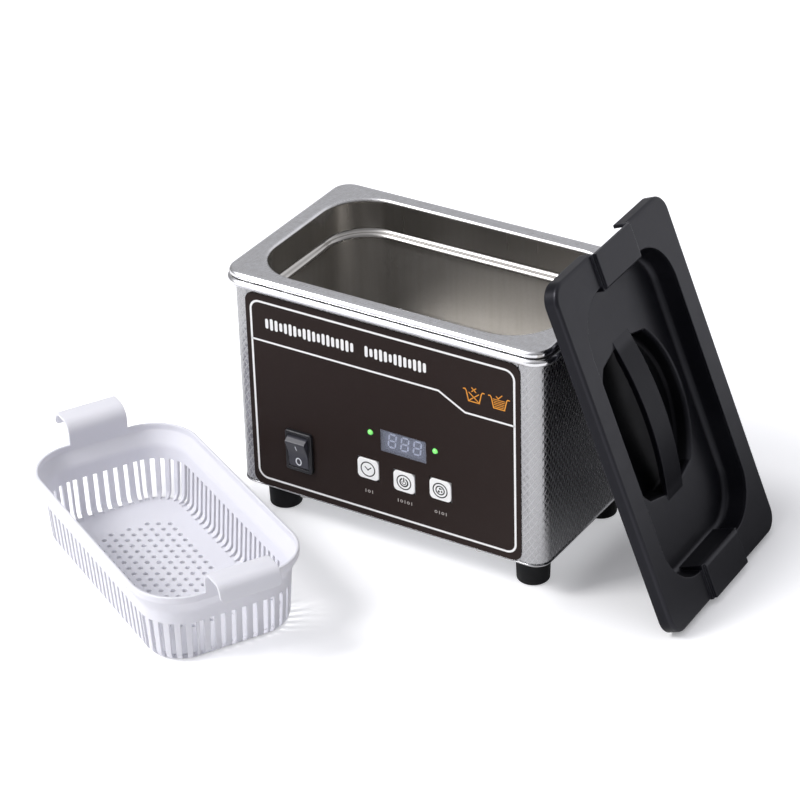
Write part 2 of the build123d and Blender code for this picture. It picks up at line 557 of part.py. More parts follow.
LEFT_PIN, MIDDLE_PIN, RIGHT_PIN = INLET_PINS
MAINS_ROUTES = [
    # left pin to the upper switch terminal
    from_pin(LEFT_PIN) + [
        (LEFT_PIN[0], 12, 43), (SWITCH_X, -8, 48),
        (SWITCH_X, TERMINAL_END + 4, SWITCH_Z + TERMINAL_DZ),
        (SWITCH_X, TERMINAL_END + 0.5, SWITCH_Z + TERMINAL_DZ)],
    # lower switch terminal to the driver board
    [(SWITCH_X, TERMINAL_END + 0.5, SWITCH_Z - TERMINAL_DZ),
     (SWITCH_X, TERMINAL_END + 3, SWITCH_Z - 4.8), (-40, -26.5, 31), (-20, -30, 28.0),
     (10, -31, 30.0), (28, -27, 42)] + to_plug(-21.5, 9.0),
    # right pin to the driver board
    from_pin(RIGHT_PIN) + [
        (-30, 26, 36), (-10, 31, 29), (14, 31, 30), (27, 26, 42)] + to_plug(20, 9.0),
    # middle pin to the earth stud
    from_pin(MIDDLE_PIN) + [
        (-58, 16, 47), (-68, 9, 41), (EARTH_X, EARTH_Y, PLATE_Z1 + 16),
        (EARTH_X, EARTH_Y, PLATE_Z1 + 12.6)],
]
save("mains_wires", *[tube(route, 1.1) for route in MAINS_ROUTES])

# side, underside of the electrode, height of the bend below it, height halfway
LEADS = [(1, STACK_TOP - ELECTRODE_T, TANK_UNDER - 22.0, 44.5),
         (-1, STACK_TOP - LAYER_T - ELECTRODE_T, TANK_UNDER - 26.5, 42.5)]
save("transducer_leads", *[
    tube([(PIEZO_R + 5.4, side * TAB_Y, tab_z - 0.5), (PIEZO_R + 5.6, side * TAB_Y, bend_z),
          (29, side * 4.2, halfway_z), (PLUG_X, side * 1.9, DRIVER_TOP + 12),
          (PLUG_X, side * 1.9, DRIVER_TOP + 8.7)], 0.8)
    for side, tab_z, bend_z, halfway_z in LEADS])
save("ribbon_cable", *[
    tube([(-9 + k * 1.9, BOARD_BACK + 6.2, 35.8), (-9 + k * 1.9, BOARD_BACK + 8.5, 35.9),
          (4 + k * 1.2, -26.8, 38.5 + k * 1.3), (24 + k * 0.3, -23.8 + k * 1.2, 43.0)]
         + to_plug(-18.8 + k * 1.5, 8.8), 0.6)
    for k in range(3)])

# ----------------------------------------------------------------------- lid
# built as it sits on the tank: z = 0 is its top face, skirt downwards
LID_X, LID_Y, LID_R = 90.4, 56.4, 9.5       # lid outline
LID_SKIRT = 7.0
LID_T, PAN_T = 1.8, 1.4                     # wall of the lid, wall of its recess
PAN_X, PAN_Y, PAN_R, PAN_D = 74.5, 43.7, 24.0, 12.2    # recess in the lid
PAN_UNDER = -PAN_D - PAN_T
WELL_D = 7.4                                # finger well, below the recess floor
WELL_DRAFT = 0.36                           # its wall leans in by this per mm of depth
HANDLE_SPAN, HANDLE_RISE, HANDLE_T = 42.0, 5.2, 3.0    # half span, rise, thickness
HOOD_X, HOOD_Y, HOOD_UP = 72.0, 17.3, 2.4   # inner end, half width, top
LID_LEAN, LID_YAW = 68.7, 1.5               # lid turned about +Y, then about +Z
LID_AT = (123.22, 5.08, 86.7)               # lid origin when it leans


def make_lid_shell():
    lid = prism(LID_X - 1.5, LID_Y - 1.5, LID_R - 1.5, -LID_T, 0) \
        - prism(PAN_X - 0.1, PAN_Y - 0.1, PAN_R - 0.1, -5, 5)
    skirt = ring([(-LID_T, -LID_SKIRT), (0, -LID_SKIRT, 0.4), (0, 0, 1.6), (-4.0, 0),
                  (-4.0, -LID_T), (-LID_T, -LID_T, 0.6)], LID_X, LID_Y, LID_R)
    pan_wall = ring([(2.5, 0), (0, 0, 1.6), (-1.2, -PAN_D, 3.5), (-8.0, -PAN_D),
                     (-8.0, PAN_UNDER), (0.4, PAN_UNDER, 4.0), (1.6, -LID_T),
                     (2.5, -LID_T)], PAN_X, PAN_Y, PAN_R)
    pan_floor = prism(PAN_X - 7.9, PAN_Y - 7.9, PAN_R - 7.9, PAN_UNDER, -PAN_D)
    return lid.fuse(skirt, pan_wall, pan_floor).clean()


def well_face(grow, z):
    """Finger well outline at height z: blunt ends, bowed sides."""
    corner_x, corner_y = 35 + grow * 0.8, 21.5 + grow
    end_x, bow_y = 38.5 + grow, 35.5 + grow
    edges = []
    for sign in (1, -1):                    # the second half is the first turned by 180
        start, bow, *rest = [
            Vector(sign * x, sign * y, z) for x, y in (
                (-corner_x, -corner_y), (0, -bow_y), (corner_x, -corner_y),
                (end_x, -8), (end_x, 8), (corner_x, corner_y))]
        edges.append(Edge.make_three_point_arc(start, bow, rest[0]))
        edges += [Edge.make_line(a, b) for a, b in zip(rest, rest[1:])]
    return Face(Wire(edges))


def add_well(lid):
    outer = loft([well_face(1.6 - WELL_DRAFT * (WELL_D + PAN_T - 0.5), PAN_UNDER - WELL_D),
                  well_face(1.6, -PAN_D - 0.5)], ruled=True)
    inner = loft([well_face(-WELL_DRAFT * WELL_D, -PAN_D - WELL_D),
                  well_face(WELL_DRAFT, -PAN_D + 1)], ruled=True)
    inner = fillet(inner.edges().group_by(Axis.Z)[0], 2.0)
    lid = lid + outer - inner
    # round the well's edge in the recess floor
    edge_loop = [e for e in lid.edges() if abs(e.bounding_box().max.Z + PAN_D) < 0.01
                 and abs(e.bounding_box().min.Z + PAN_D) < 0.01
                 and abs(e.center().X) < 41 and abs(e.center().Y) < 38]
    return fillet(edge_loop, 0.8)


def make_handle():
    """Arched strap over the well, its ends running into the recess floor."""
    arch_r = (HANDLE_SPAN ** 2 + HANDLE_RISE ** 2) / (2 * HANDLE_RISE)
    arch_z = -PAN_D + HANDLE_RISE - arch_r
    strap = rod_y(arch_r, -7.75, 7.75, 0, arch_z) - rod_y(arch_r - HANDLE_T, -9, 9, 0, arch_z)
    return strap & block(-HANDLE_SPAN - 2, HANDLE_SPAN + 2, -8, 8, PAN_UNDER + 0.2, 5)


def add_hood(lid, side):
    """Hood at a short end, open below and outwards."""
    inner_x, outer_x, clear_x = side * HOOD_X, side * (LID_X - 0.1), side * (LID_X + 3)
    shell = block(inner_x, outer_x, -HOOD_Y - 1.7, HOOD_Y + 1.7, PAN_UNDER, 1.1)
    top = block(inner_x, outer_x, -HOOD_Y, HOOD_Y, 0, HOOD_UP)
    inner_edge = [e for e in top.edges().filter_by(Axis.Y)
                  if abs(abs(e.center().X) - HOOD_X) < 0.01 and e.center().Z > 1]
    top = fillet(inner_edge, 1.8)
    hollow = block(side * (HOOD_X + 1.6), clear_x, -HOOD_Y + 0.2, HOOD_Y - 0.2,
                   PAN_UNDER - 8, HOOD_UP - 1.8)
    under = block(side * (PAN_X + 2.3), clear_x, -HOOD_Y - 1.75, HOOD_Y + 1.75,
                  PAN_UNDER - 2, -2.7)
    return lid + (shell - under) + top - hollow


lid = add_well(make_lid_shell()) + make_handle()
for side in SIDES:
    lid = add_hood(lid, side)
save("lid", Pos(*LID_AT) * Rot(0, 0, LID_YAW) * Rot(0, LID_LEAN, 0) * lid.clean())

# -------------------------------------------------------------------- basket
# built with z = 0 at its foot; swept wall, slotted sides, perforated floor
BASKET_X, BASKET_Y, BASKET_R, BASKET_H = 77.2, 42.6, 25.0, 40.0    # rim and height
BASKET_T = 1.5
SLOT_TOP, SLOT_FOOT = 22.5, 1.0             # slots stop short of the underside
SLOT_IN, SLOT_OUT = 10.8, 3                 # slot cutters reach in and out of the rim line
SIDE_N, SIDE_PITCH, SIDE_W = 22, 4.9, 2.1   # slots: count, pitch, width
END_N, END_PITCH, END_W = 7, 5.5, 2.6
CORNER_N, CORNER_STEP, CORNER_W = 6, 15.0, 2.4         # step in degrees
HOLE_R, HOLE_PX, HOLE_PY = 1.3, 5.78, 4.94  # floor holes on a triangular pitch
HOOK_Y = 15.6                               # half width of a hook
HOOK_ROUND = 2.6                            # lower corners of its tip
BASKET_AT, BASKET_YAW = (-82.7, -119.7, 0.0), -29.5    # place on the bench


def make_basket_shell():
    outside = [(0, BASKET_H - 3.4, 1.5), (-3.9, BASKET_H - 10.5, 6.0), (-6.0, 0, 5.5),
               (-15.0, 0)]
    inside = [(-15.0, BASKET_T), (-6.0 - BASKET_T, BASKET_T, 4.0),
              (-3.9 - BASKET_T, BASKET_H - 10.2, 6.0), (-BASKET_T, BASKET_H - 3.2, 1.5),
              (-BASKET_T, BASKET_H, 0.4)]
    wall = ring([(0, BASKET_H, 0.6)] + outside + inside, BASKET_X, BASKET_Y, BASKET_R)
    floor = prism(BASKET_X - 14.8, BASKET_Y - 14.8, BASKET_R - 14.8, 0, BASKET_T)
    return wall.fuse(floor).clean()


def centred(count, pitch):
    return [(k - (count - 1) / 2) * pitch for k in range(count)]


def basket_cuts():
    """Upright slots all round, running down into the foot radius, and floor holes."""
    cuts = []
    for x in centred(SIDE_N, SIDE_PITCH):
        for side in SIDES:
            cuts.append(block(x - SIDE_W / 2, x + SIDE_W / 2, side * (BASKET_Y - SLOT_IN),
                              side * (BASKET_Y + SLOT_OUT), SLOT_FOOT, SLOT_TOP))
    for y in centred(END_N, END_PITCH):
        for side in SIDES:
            cuts.append(block(side * (BASKET_X - SLOT_IN), side * (BASKET_X + SLOT_OUT),
                              y - END_W / 2, y + END_W / 2, SLOT_FOOT, SLOT_TOP))
    corner_slot = block(BASKET_R - SLOT_IN, BASKET_R + SLOT_OUT, -CORNER_W / 2, CORNER_W / 2,
                        SLOT_FOOT, SLOT_TOP)
    for sx, sy in QUADRANTS:
        for k in range(CORNER_N):
            angle = math.radians((k + 0.5) * CORNER_STEP)
            turn = math.degrees(math.atan2(sy * math.sin(angle), sx * math.cos(angle)))
            cuts.append(Pos(sx * (BASKET_X - BASKET_R), sy * (BASKET_Y - BASKET_R), 0)
                        * Rot(0, 0, turn) * corner_slot)
    for row in range(-4, 5):
        for col in range(-9, 10):
            x = (col + (0.5 if row % 2 else 0.0)) * HOLE_PX
            y = row * HOLE_PY
            if abs(x) + 0.35 * abs(y) < 50:
                cuts.append(rod(HOLE_R, -1, BASKET_T + 1, x, y))
    return cuts


def make_hook():
    """Hanging hook at the +X end."""
    # (outwards from the rim, up from the rim, corner radius)
    profile = [(-BASKET_T, -2.0), (-BASKET_T, 11.9, 6.5), (14.6, 11.9, 5.0), (17.2, 3.4),
               (15.7, 3.2), (13.5, 10.4, 3.5), (0, 10.4, 5.0), (0, -2.0)]
    face = outline(profile, lambda u, v: Vector(BASKET_X + u, -HOOK_Y, BASKET_H + v))
    hook = extrude(face, amount=2 * HOOK_Y, dir=(0, 1, 0))
    round_z = BASKET_H + 5.8
    for side in SIDES:
        round_y = side * (HOOK_Y - HOOK_ROUND)
        hook = hook - (block(BASKET_X + 12.5, BASKET_X + 18, round_y, side * (HOOK_Y + 1),
                             BASKET_H + 2, round_z)
                       - rod_x(HOOK_ROUND, BASKET_X + 12, BASKET_X + 18.5, round_y, round_z))
    return hook


hook = make_hook()
basket = make_basket_shell().cut(*basket_cuts()) + hook + mirror(hook, about=Plane.YZ)
save("basket", Pos(*BASKET_AT) * Rot(0, 0, BASKET_YAW) * basket.clean())
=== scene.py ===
# Ultrasonic cleaner: looks, stage, lights and camera for the CAD pieces.
# +Z is up and the floor is at z = 0. The control panel faces -Y, +X is the right side.
# The tank opens upwards, and the lid leans at the right of the case.
import math

import bmesh
import bpy
import numpy as np
from mathutils import Matrix, Vector


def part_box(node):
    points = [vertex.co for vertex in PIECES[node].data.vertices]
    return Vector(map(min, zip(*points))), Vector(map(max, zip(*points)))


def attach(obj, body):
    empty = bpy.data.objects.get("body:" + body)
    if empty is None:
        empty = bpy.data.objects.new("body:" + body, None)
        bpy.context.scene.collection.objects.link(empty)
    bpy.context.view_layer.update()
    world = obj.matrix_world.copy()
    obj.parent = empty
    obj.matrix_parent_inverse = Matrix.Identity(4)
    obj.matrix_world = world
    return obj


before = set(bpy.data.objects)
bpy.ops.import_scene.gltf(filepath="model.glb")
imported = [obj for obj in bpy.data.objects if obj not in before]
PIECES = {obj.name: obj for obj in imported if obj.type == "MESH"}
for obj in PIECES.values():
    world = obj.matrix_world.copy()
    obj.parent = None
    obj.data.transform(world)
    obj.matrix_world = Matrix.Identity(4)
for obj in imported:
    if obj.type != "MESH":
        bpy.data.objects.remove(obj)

MM = 0.001                                  # meshes are drawn in mm, built in metres
LID_LEAN, LID_YAW = math.radians(68.7), math.radians(1.5)
LID_TOP = (0.12322, 0.00508, 0.0867)        # middle of the lid's top face, metres


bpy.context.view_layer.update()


# ------------------------------------------------------------- node builders
class Tree:
    """Short ways to add shader nodes. A value is a number, a tuple or a socket."""

    def __init__(self, tree):
        self.tree = tree
        tree.nodes.clear()

    def feed(self, socket, value):
        if isinstance(value, bpy.types.NodeSocket):
            self.tree.links.new(value, socket)
        elif value is not None:
            socket.default_value = (*value[:3], 1.0) if socket.type == "RGBA" else value

    def fill(self, node, named):
        """Feeds inputs by name, with underscores for the spaces."""
        for key, value in named.items():
            self.feed(node.inputs[key.replace("_", " ")], value)

    def node(self, kind, *values, **named):
        node = self.tree.nodes.new("ShaderNode" + kind)
        for socket, value in zip(node.inputs, values):
            self.feed(socket, value)
        self.fill(node, named)
        return node

    def calc(self, operation, first, second=None, clamp=False):
        node = self.node("Math", first, second)
        node.operation = operation
        node.use_clamp = clamp
        return node.outputs[0]

    def add(self, first, second):
        return self.calc("ADD", first, second)

    def sub(self, first, second, clamp=False):
        return self.calc("SUBTRACT", first, second, clamp)

    def mul(self, first, second):
        return self.calc("MULTIPLY", first, second)


class Material(Tree):
    """Procedural material round one Principled shader; keywords are its inputs."""

    def __init__(self, name, **inputs):
        self.material = bpy.data.materials.new(name)
        self.material.use_nodes = True
        super().__init__(self.material.node_tree)
        self.output = self.node("OutputMaterial")
        self.shader = self.node("BsdfPrincipled")
        self.feed(self.output.inputs[0], self.shader.outputs[0])
        self.place = self.node("TexCoord").outputs
        self.set(**inputs)

    def set(self, **inputs):
        self.fill(self.shader, inputs)

    def surface(self, color, rough, normal=None):
        self.set(Base_Color=color, Roughness=rough, Normal=normal)
        return self.material

    def coords(self, scale=(1, 1, 1), rot=(0, 0, 0)):
        return self.node("Mapping", Vector=self.place["Object"], Scale=scale,
                         Rotation=rot).outputs[0]

    def noise(self, scale, detail=3.0, rough=0.55, at=None, distort=0.0):
        at = self.coords() if at is None else at
        return self.node("TexNoise", Scale=scale, Detail=detail, Roughness=rough,
                         Distortion=distort, Vector=at).outputs["Fac"]

    def ramp(self, source, at=(0.0, 1.0), to=(0.0, 1.0), smooth=False):
        """Maps the source from the range `at` to the range `to`, clamped."""
        node = self.node("MapRange", source, *at, *to)
        if smooth:
            node.interpolation_type = "SMOOTHSTEP"
        return node.outputs[0]

    def fade(self, source, at, to=(0.0, 1.0)):
        return self.ramp(source, at, to, smooth=True)

    def spread(self, noise, low, high):
        """Stretches a noise's usual 0.3 to 0.7 over low to high."""
        return self.ramp(noise, at=(0.3, 0.7), to=(low, high))

    def mix(self, factor, first, second):
        node = self.node("Mix")
        node.data_type = "RGBA"
        for socket, value in ((0, factor), (6, first), (7, second)):
            self.feed(node.inputs[socket], value)
        return node.outputs[2]

    def tone(self, factor, color, vary):
        """The color drifting from darker to lighter by the share `vary`."""
        return self.mix(factor, shade(color, 1.0 - vary), shade(color, 1.0 + vary))

    def xyz(self, source="Object"):
        return self.node("SeparateXYZ", self.place[source]).outputs

    def dot(self, first, second):
        node = self.node("VectorMath", first, second)
        node.operation = "DOT_PRODUCT"
        return node.outputs["Value"]

    def bevel(self, radius):
        node = self.node("Bevel", Radius=radius)
        node.samples = 4
        return node.outputs[0]

    def edge(self, radius):
        """0 on flats, up to 1 on edges, from the rounded normal."""
        normal = self.node("NewGeometry").outputs["Normal"]
        return self.fade(self.dot(self.bevel(radius), normal), at=(1.0, 0.8))

    def wear_and_sheen(self, radius, least):
        """Uneven edge mask, never below the share `least`, used for a painted highlight on
        edges and for rubbed, glossier edges.
        """
        patches = self.ramp(self.noise(420.0), at=(0.35, 0.75), to=(least, 1.0))
        return self.mul(self.edge(radius), patches)

    def bump(self, height, strength, distance, normal=None):
        return self.node("Bump", Strength=strength, Distance=distance, Height=height,
                         Normal=normal).outputs[0]


def shade(color, gain):
    return tuple(max(0.0, min(1.0, v * gain)) for v in color[:3])


# ----------------------------------------------------------------- materials
def plastic(name, color, rough, grain=0.4, grain_scale=2600.0, edge=0.35,
            bevel=0.0003, vary=0.08, spec=0.5, coat=0.0, sss=0.0, painted_edge_color=None):
    """Moulded plastic: spark-eroded grain, tone drift, a painted highlight on edges and
    rubbed, glossier edges.
    """
    mat = Material(name, Specular_IOR_Level=spec)
    if coat:
        mat.set(Coat_Weight=coat, Coat_Roughness=0.12)
    if sss:
        mat.set(Subsurface_Weight=sss, Subsurface_Scale=0.004,
                Subsurface_Radius=(1.0, 0.95, 0.9))
    base = mat.tone(mat.noise(28.0, detail=4.0, rough=0.6), color, vary)
    wear_and_sheen = mat.wear_and_sheen(bevel * 1.6, least=0.35)
    lift = painted_edge_color or tuple(min(1.0, v * 1.5 + 0.03) for v in color)
    # painted highlight: the edges are mixed towards a lighter edge colour
    base = mat.mix(mat.mul(wear_and_sheen, edge), base, lift)
    fine = mat.noise(grain_scale, detail=2.0, rough=0.6)
    broad = mat.noise(90.0, detail=4.0, rough=0.6)
    rough = mat.add(mat.spread(broad, rough - 0.04, rough + 0.05), mat.mul(wear_and_sheen, -0.08))
    normal = mat.bump(fine, strength=grain, distance=0.00006, normal=mat.bevel(bevel))
    return mat.surface(base, rough, normal)


def metal(name, color, rough, brush, brush_scale, vary, brush_depth=0.35, smudge=0.07):
    """Sheet or turned metal: drawn lines, light smudges, tone drift, edges painted bright as a
    highlight.
    """
    mat = Material(name, Metallic=1.0)
    drift = mat.noise(17.0, detail=4.0, rough=0.6)
    lines = mat.noise(brush_scale, detail=5.0, rough=0.65, at=mat.coords(scale=brush))
    base = mat.tone(drift, color, vary)
    base = mat.mix(mat.ramp(lines, at=(0.35, 0.65), to=(0.0, 0.35)), base, shade(color, 0.8))
    # painted highlight: edges are mixed towards a brighter colour
    base = mat.mix(mat.mul(mat.edge(0.0004), 0.5), base, shade(color, 1.25))
    smears = mat.noise(33.0, detail=5.0, rough=0.62, distort=0.4)
    rough = mat.add(mat.spread(lines, rough - 0.05, rough + 0.06),
                    mat.ramp(smears, at=(0.45, 0.75), to=(0.0, smudge)))
    fine = mat.noise(3000.0, detail=2.0, rough=0.6)
    height = mat.add(mat.mul(lines, brush_depth), mat.mul(fine, 0.15))
    normal = mat.bump(height, strength=0.35, distance=0.00004, normal=mat.bevel(0.0002))
    return mat.surface(base, rough, normal)


def lid_plastic():
    """Satin black moulding: blue-black, with a painted highlight on the edges and painted
    shade inside the finger well.
    """
    mat = Material("lid_black_satin", Specular_Tint=(0.90, 0.90, 1.0))
    up = (math.sin(LID_LEAN) * math.cos(LID_YAW), math.sin(LID_LEAN) * math.sin(LID_YAW),
          math.cos(LID_LEAN))
    face = sum(a * b for a, b in zip(up, LID_TOP))
    depth = mat.sub(face, mat.dot(mat.place["Object"], up))    # metres below the top face
    well = mat.fade(depth, at=(0.0131, 0.0150))
    drift = mat.noise(28.0, detail=4.0, rough=0.6)
    base = mat.mix(drift, (0.0042, 0.0042, 0.0062), (0.0062, 0.0062, 0.0088))
    wear_and_sheen = mat.wear_and_sheen(0.0010, least=0.55)
    # painted highlight: the edges are mixed towards a lighter blue-grey
    base = mat.mix(mat.mul(wear_and_sheen, 0.75), base, (0.055, 0.055, 0.066))
    # painted shade: the inside of the finger well is darkened
    base = mat.mix(well, base, (0.0012, 0.0012, 0.0018))
    side = mat.mul(mat.fade(depth, at=(0.0008, 0.0024)),
                   mat.fade(depth, at=(0.0105, 0.0115), to=(1.0, 0.0)))
    mat.set(Specular_IOR_Level=mat.sub(mat.ramp(well, to=(0.45, 0.12)), mat.mul(side, 0.24)))
    broad = mat.noise(90.0, detail=4.0, rough=0.6)
    scuffs = mat.noise(60.0, detail=6.0, rough=0.7,
                       at=mat.coords(scale=(9, 1, 3), rot=(0.3, 0.5, 0.9)))
    rough = mat.add(mat.spread(broad, 0.29, 0.36),
                    mat.ramp(scuffs, at=(0.58, 0.72), to=(0.0, 0.05)))
    rough = mat.sub(rough, mat.mul(wear_and_sheen, 0.10))
    grain = mat.noise(2400.0, detail=2.0, rough=0.6)
    normal = mat.bump(grain, strength=0.35, distance=0.00005, normal=mat.bevel(0.0007))
    return mat.surface(base, rough, normal)


def rubber(name, color, rough=0.62):
    mat = Material(name, Specular_IOR_Level=0.22, Sheen_Weight=0.02)
    dust = mat.noise(140.0, detail=5.0, rough=0.7)
    base = mat.mix(mat.ramp(dust, at=(0.5, 0.8), to=(0.0, 0.22)), color,
                   (0.035, 0.034, 0.034))
    normal = mat.bump(mat.noise(1900.0, rough=0.7), strength=0.55, distance=0.00009,
                      normal=mat.bevel(0.0004))
    return mat.surface(base, mat.spread(dust, rough - 0.08, rough + 0.1), normal)


def tank_steel():
    """Drawn stainless tank: polished rim radius and step, satin walls, matt grained pan."""
    mat = Material("tank_stainless", Metallic=1.0)
    x, y, z = mat.xyz()
    # where the zones lie, metres
    top = mat.fade(z, at=(0.1352, 0.1362))
    low = mat.fade(z, at=(0.118, 0.112))
    step = mat.mul(mat.fade(z, at=(0.1163, 0.1172)),
                   mat.fade(z, at=(0.1207, 0.1216), to=(1.0, 0.0)))
    roll = mat.calc("MAXIMUM", mat.fade(mat.calc("ABSOLUTE", x), at=(0.0860, 0.0865)),
                    mat.fade(mat.calc("ABSOLUTE", y), at=(0.0521, 0.0526)))
    flat = mat.sub(1.0, roll)
    # streaks run down the walls, brushing runs along x on the rim
    streak = mat.noise(60.0, detail=5.0, rough=0.6, at=mat.coords(scale=(6, 6, 0.35)))
    brush = mat.noise(80.0, detail=5.0, rough=0.62, at=mat.coords(scale=(0.6, 26, 26)))

    drift = mat.noise(14.0, detail=4.0)
    warm = mat.mix(drift, (0.455, 0.442, 0.424), (0.560, 0.546, 0.526))
    cool = mat.mix(drift, (0.76, 0.765, 0.785), (0.86, 0.86, 0.88))
    inside = mat.mix(top, warm, cool)
    inside = mat.mix(mat.ramp(streak, at=(0.35, 0.7), to=(0.0, 0.3)), inside,
                     (0.40, 0.375, 0.34))
    inside = mat.mix(mat.mul(top, mat.ramp(brush, at=(0.4, 0.65), to=(0.0, 0.30))),
                     inside, (0.60, 0.60, 0.62))
    base = mat.mix(roll, inside, (0.86, 0.86, 0.88))

    wall_rough = mat.spread(streak, 0.235, 0.275)
    pan_rough = mat.spread(mat.noise(700.0, rough=0.6), 0.36, 0.5)
    rim_rough = mat.spread(brush, 0.24, 0.34)
    rough = mat.add(mat.mul(wall_rough, mat.sub(1.0, low)), mat.mul(pan_rough, low))
    rough = mat.add(mat.mul(rough, mat.sub(1.0, top)), mat.mul(rim_rough, top))
    rough = mat.sub(rough, mat.mul(step, 0.12), clamp=True)
    rough = mat.add(mat.mul(rough, flat), mat.mul(roll, 0.15))

    grain = mat.noise(1500.0, rough=0.65)
    height = mat.add(mat.mul(grain, mat.add(mat.mul(low, 0.8), 0.2)),
                     mat.mul(brush, mat.mul(top, 0.5)))
    normal = mat.bump(mat.mul(height, flat), strength=0.42, distance=0.00007)
    return mat.surface(base, rough, normal)


def case_steel(name, pressed):
    """Stainless sheet with a polished bead on top; pressed sheet has rougher grooves."""
    mat = Material(name, Metallic=1.0)
    z = mat.xyz()[2]
    drift = mat.noise(12.0, detail=4.0, rough=0.6)
    base = mat.mix(drift, (0.40, 0.40, 0.405), (0.46, 0.46, 0.47))
    mottle = mat.noise(520.0, rough=0.6)
    base = mat.mix(mat.ramp(mottle, at=(0.4, 0.7), to=(0.0, 0.08)), base, (0.33, 0.33, 0.34))
    smears = mat.noise(26.0, detail=5.0, rough=0.6, distort=0.5)
    rough = mat.add(mat.spread(mottle, 0.20, 0.225),
                    mat.ramp(smears, at=(0.45, 0.8), to=(0.0, 0.03)))
    if pressed:
        relief = mat.node("Attribute")
        relief.attribute_name = "relief"
        groove = mat.fade(relief.outputs["Fac"], at=(0.75, 0.15))
        base = mat.mix(mat.mul(groove, 0.42), base, (0.80, 0.80, 0.82))
        rough = mat.add(rough, mat.mul(groove, 0.40))
    bead = mat.ramp(z, at=(0.1286, 0.1290))
    base = mat.mix(bead, base, (0.86, 0.86, 0.87))
    brush = mat.noise(70.0, detail=4.0, rough=0.6, at=mat.coords(scale=(0.5, 0.5, 24)))
    rough = mat.add(mat.mul(rough, mat.sub(1.0, bead)),
                    mat.mul(mat.spread(brush, 0.13, 0.20), bead))
    grain = mat.noise(2400.0, detail=2.0, rough=0.6)
    return mat.surface(base, rough, mat.bump(grain, strength=0.15, distance=0.00003))


def panel_film():
    """Screen printed polycarbonate: dark brown, fine velvet texture, soft sheen."""
    mat = Material("panel_film_brown", Specular_IOR_Level=0.11)
    base = mat.mix(mat.noise(9.0, detail=4.0), (0.0205, 0.0132, 0.0117),
                   (0.0245, 0.0160, 0.0142))
    speck = mat.noise(900.0, detail=2.0, rough=0.5)
    base = mat.mix(mat.ramp(speck, at=(0.55, 0.8), to=(0.0, 0.18)), base,
                   (0.036, 0.027, 0.025))
    rough = mat.spread(mat.noise(60.0, detail=5.0, rough=0.6), 0.36, 0.44)
    normal = mat.bump(mat.noise(3300.0, detail=2.0, rough=0.6), strength=0.35,
                      distance=0.00004, normal=mat.bevel(0.00015))
    return mat.surface(base, rough, normal)


def ink(name, color, vary=0.06, rough=0.5, emit=0.0):
    mat = Material(name, Specular_IOR_Level=0.35)
    grain = mat.noise(1500.0, rough=0.6)
    base = mat.tone(grain, color, vary)
    if emit:
        mat.set(Emission_Color=base, Emission_Strength=emit)
    return mat.surface(base, mat.spread(grain, rough - 0.06, rough + 0.06),
                       mat.bump(grain, strength=0.25, distance=0.00003))


def window_film():
    """Grey translucent window: diffuse film over the digits, with a soft reflection."""
    mat = Material("window_grey_film", Specular_IOR_Level=0.5)
    mat.surface(mat.mix(mat.noise(70.0, rough=0.5), (0.27, 0.285, 0.35), (0.32, 0.335, 0.40)),
                mat.spread(mat.noise(300.0, rough=0.6), 0.28, 0.36),
                mat.bump(mat.noise(2500.0, detail=2.0, rough=0.5), strength=0.2,
                         distance=0.00003))
    clear = mat.node("BsdfTransparent", (0.93, 0.95, 1.0))
    cover = mat.spread(mat.noise(45.0, detail=2.0, rough=0.5), 0.34, 0.40)
    film = mat.node("MixShader", cover, clear.outputs[0], mat.shader.outputs[0])
    mat.feed(mat.output.inputs[0], film.outputs[0])
    return mat.material


def led_lens():
    mat = Material("lamp_lens_green", Specular_IOR_Level=0.5, Coat_Weight=0.5,
                   Coat_Roughness=0.1, Subsurface_Weight=0.2, Subsurface_Scale=0.002,
                   Emission_Strength=0.75)
    facing = mat.node("LayerWeight", 0.35).outputs["Facing"]
    swirl = mat.noise(1400.0, detail=2.0, rough=0.5)
    core = mat.mix(facing, (0.20, 0.75, 0.16), (0.03, 0.34, 0.04))
    core = mat.mix(mat.ramp(swirl, at=(0.4, 0.7), to=(0.0, 0.2)), core, (0.30, 0.85, 0.24))
    mat.set(Emission_Color=core)
    return mat.surface(core, mat.spread(swirl, 0.16, 0.26),
                       mat.bump(swirl, strength=0.15, distance=0.00003))


def circuit_board(name, color, upright):
    """Solder mask with tracks and pads, laid in the XZ plane if upright, else in XY."""
    mat = Material(name, Specular_IOR_Level=0.5, Coat_Weight=0.35, Coat_Roughness=0.2)
    plane = mat.coords(rot=(math.pi / 2 if upright else 0, 0, 0))
    bricks = mat.node("TexBrick", Scale=130.0, Mortar_Size=0.012, Mortar_Smooth=0.2,
                      Brick_Width=0.9, Row_Height=0.28, Vector=plane)
    bricks.offset = 0.37
    track = bricks.outputs["Fac"]
    base = mat.tone(mat.noise(24.0), color, 0.15)
    base = mat.mix(mat.mul(track, 0.8), base, shade(color, 0.55))
    cells = mat.node("TexVoronoi", Scale=310.0, Vector=plane).outputs["Distance"]
    pads = mat.ramp(cells, at=(0.16, 0.2), to=(1.0, 0.0))
    base = mat.mix(pads, base, (0.62, 0.6, 0.55))
    normal = mat.bump(mat.add(track, pads), strength=0.5, distance=0.00005,
                      normal=mat.bevel(0.0002))
    return mat.surface(base, mat.spread(mat.noise(200.0), 0.3, 0.42), normal)


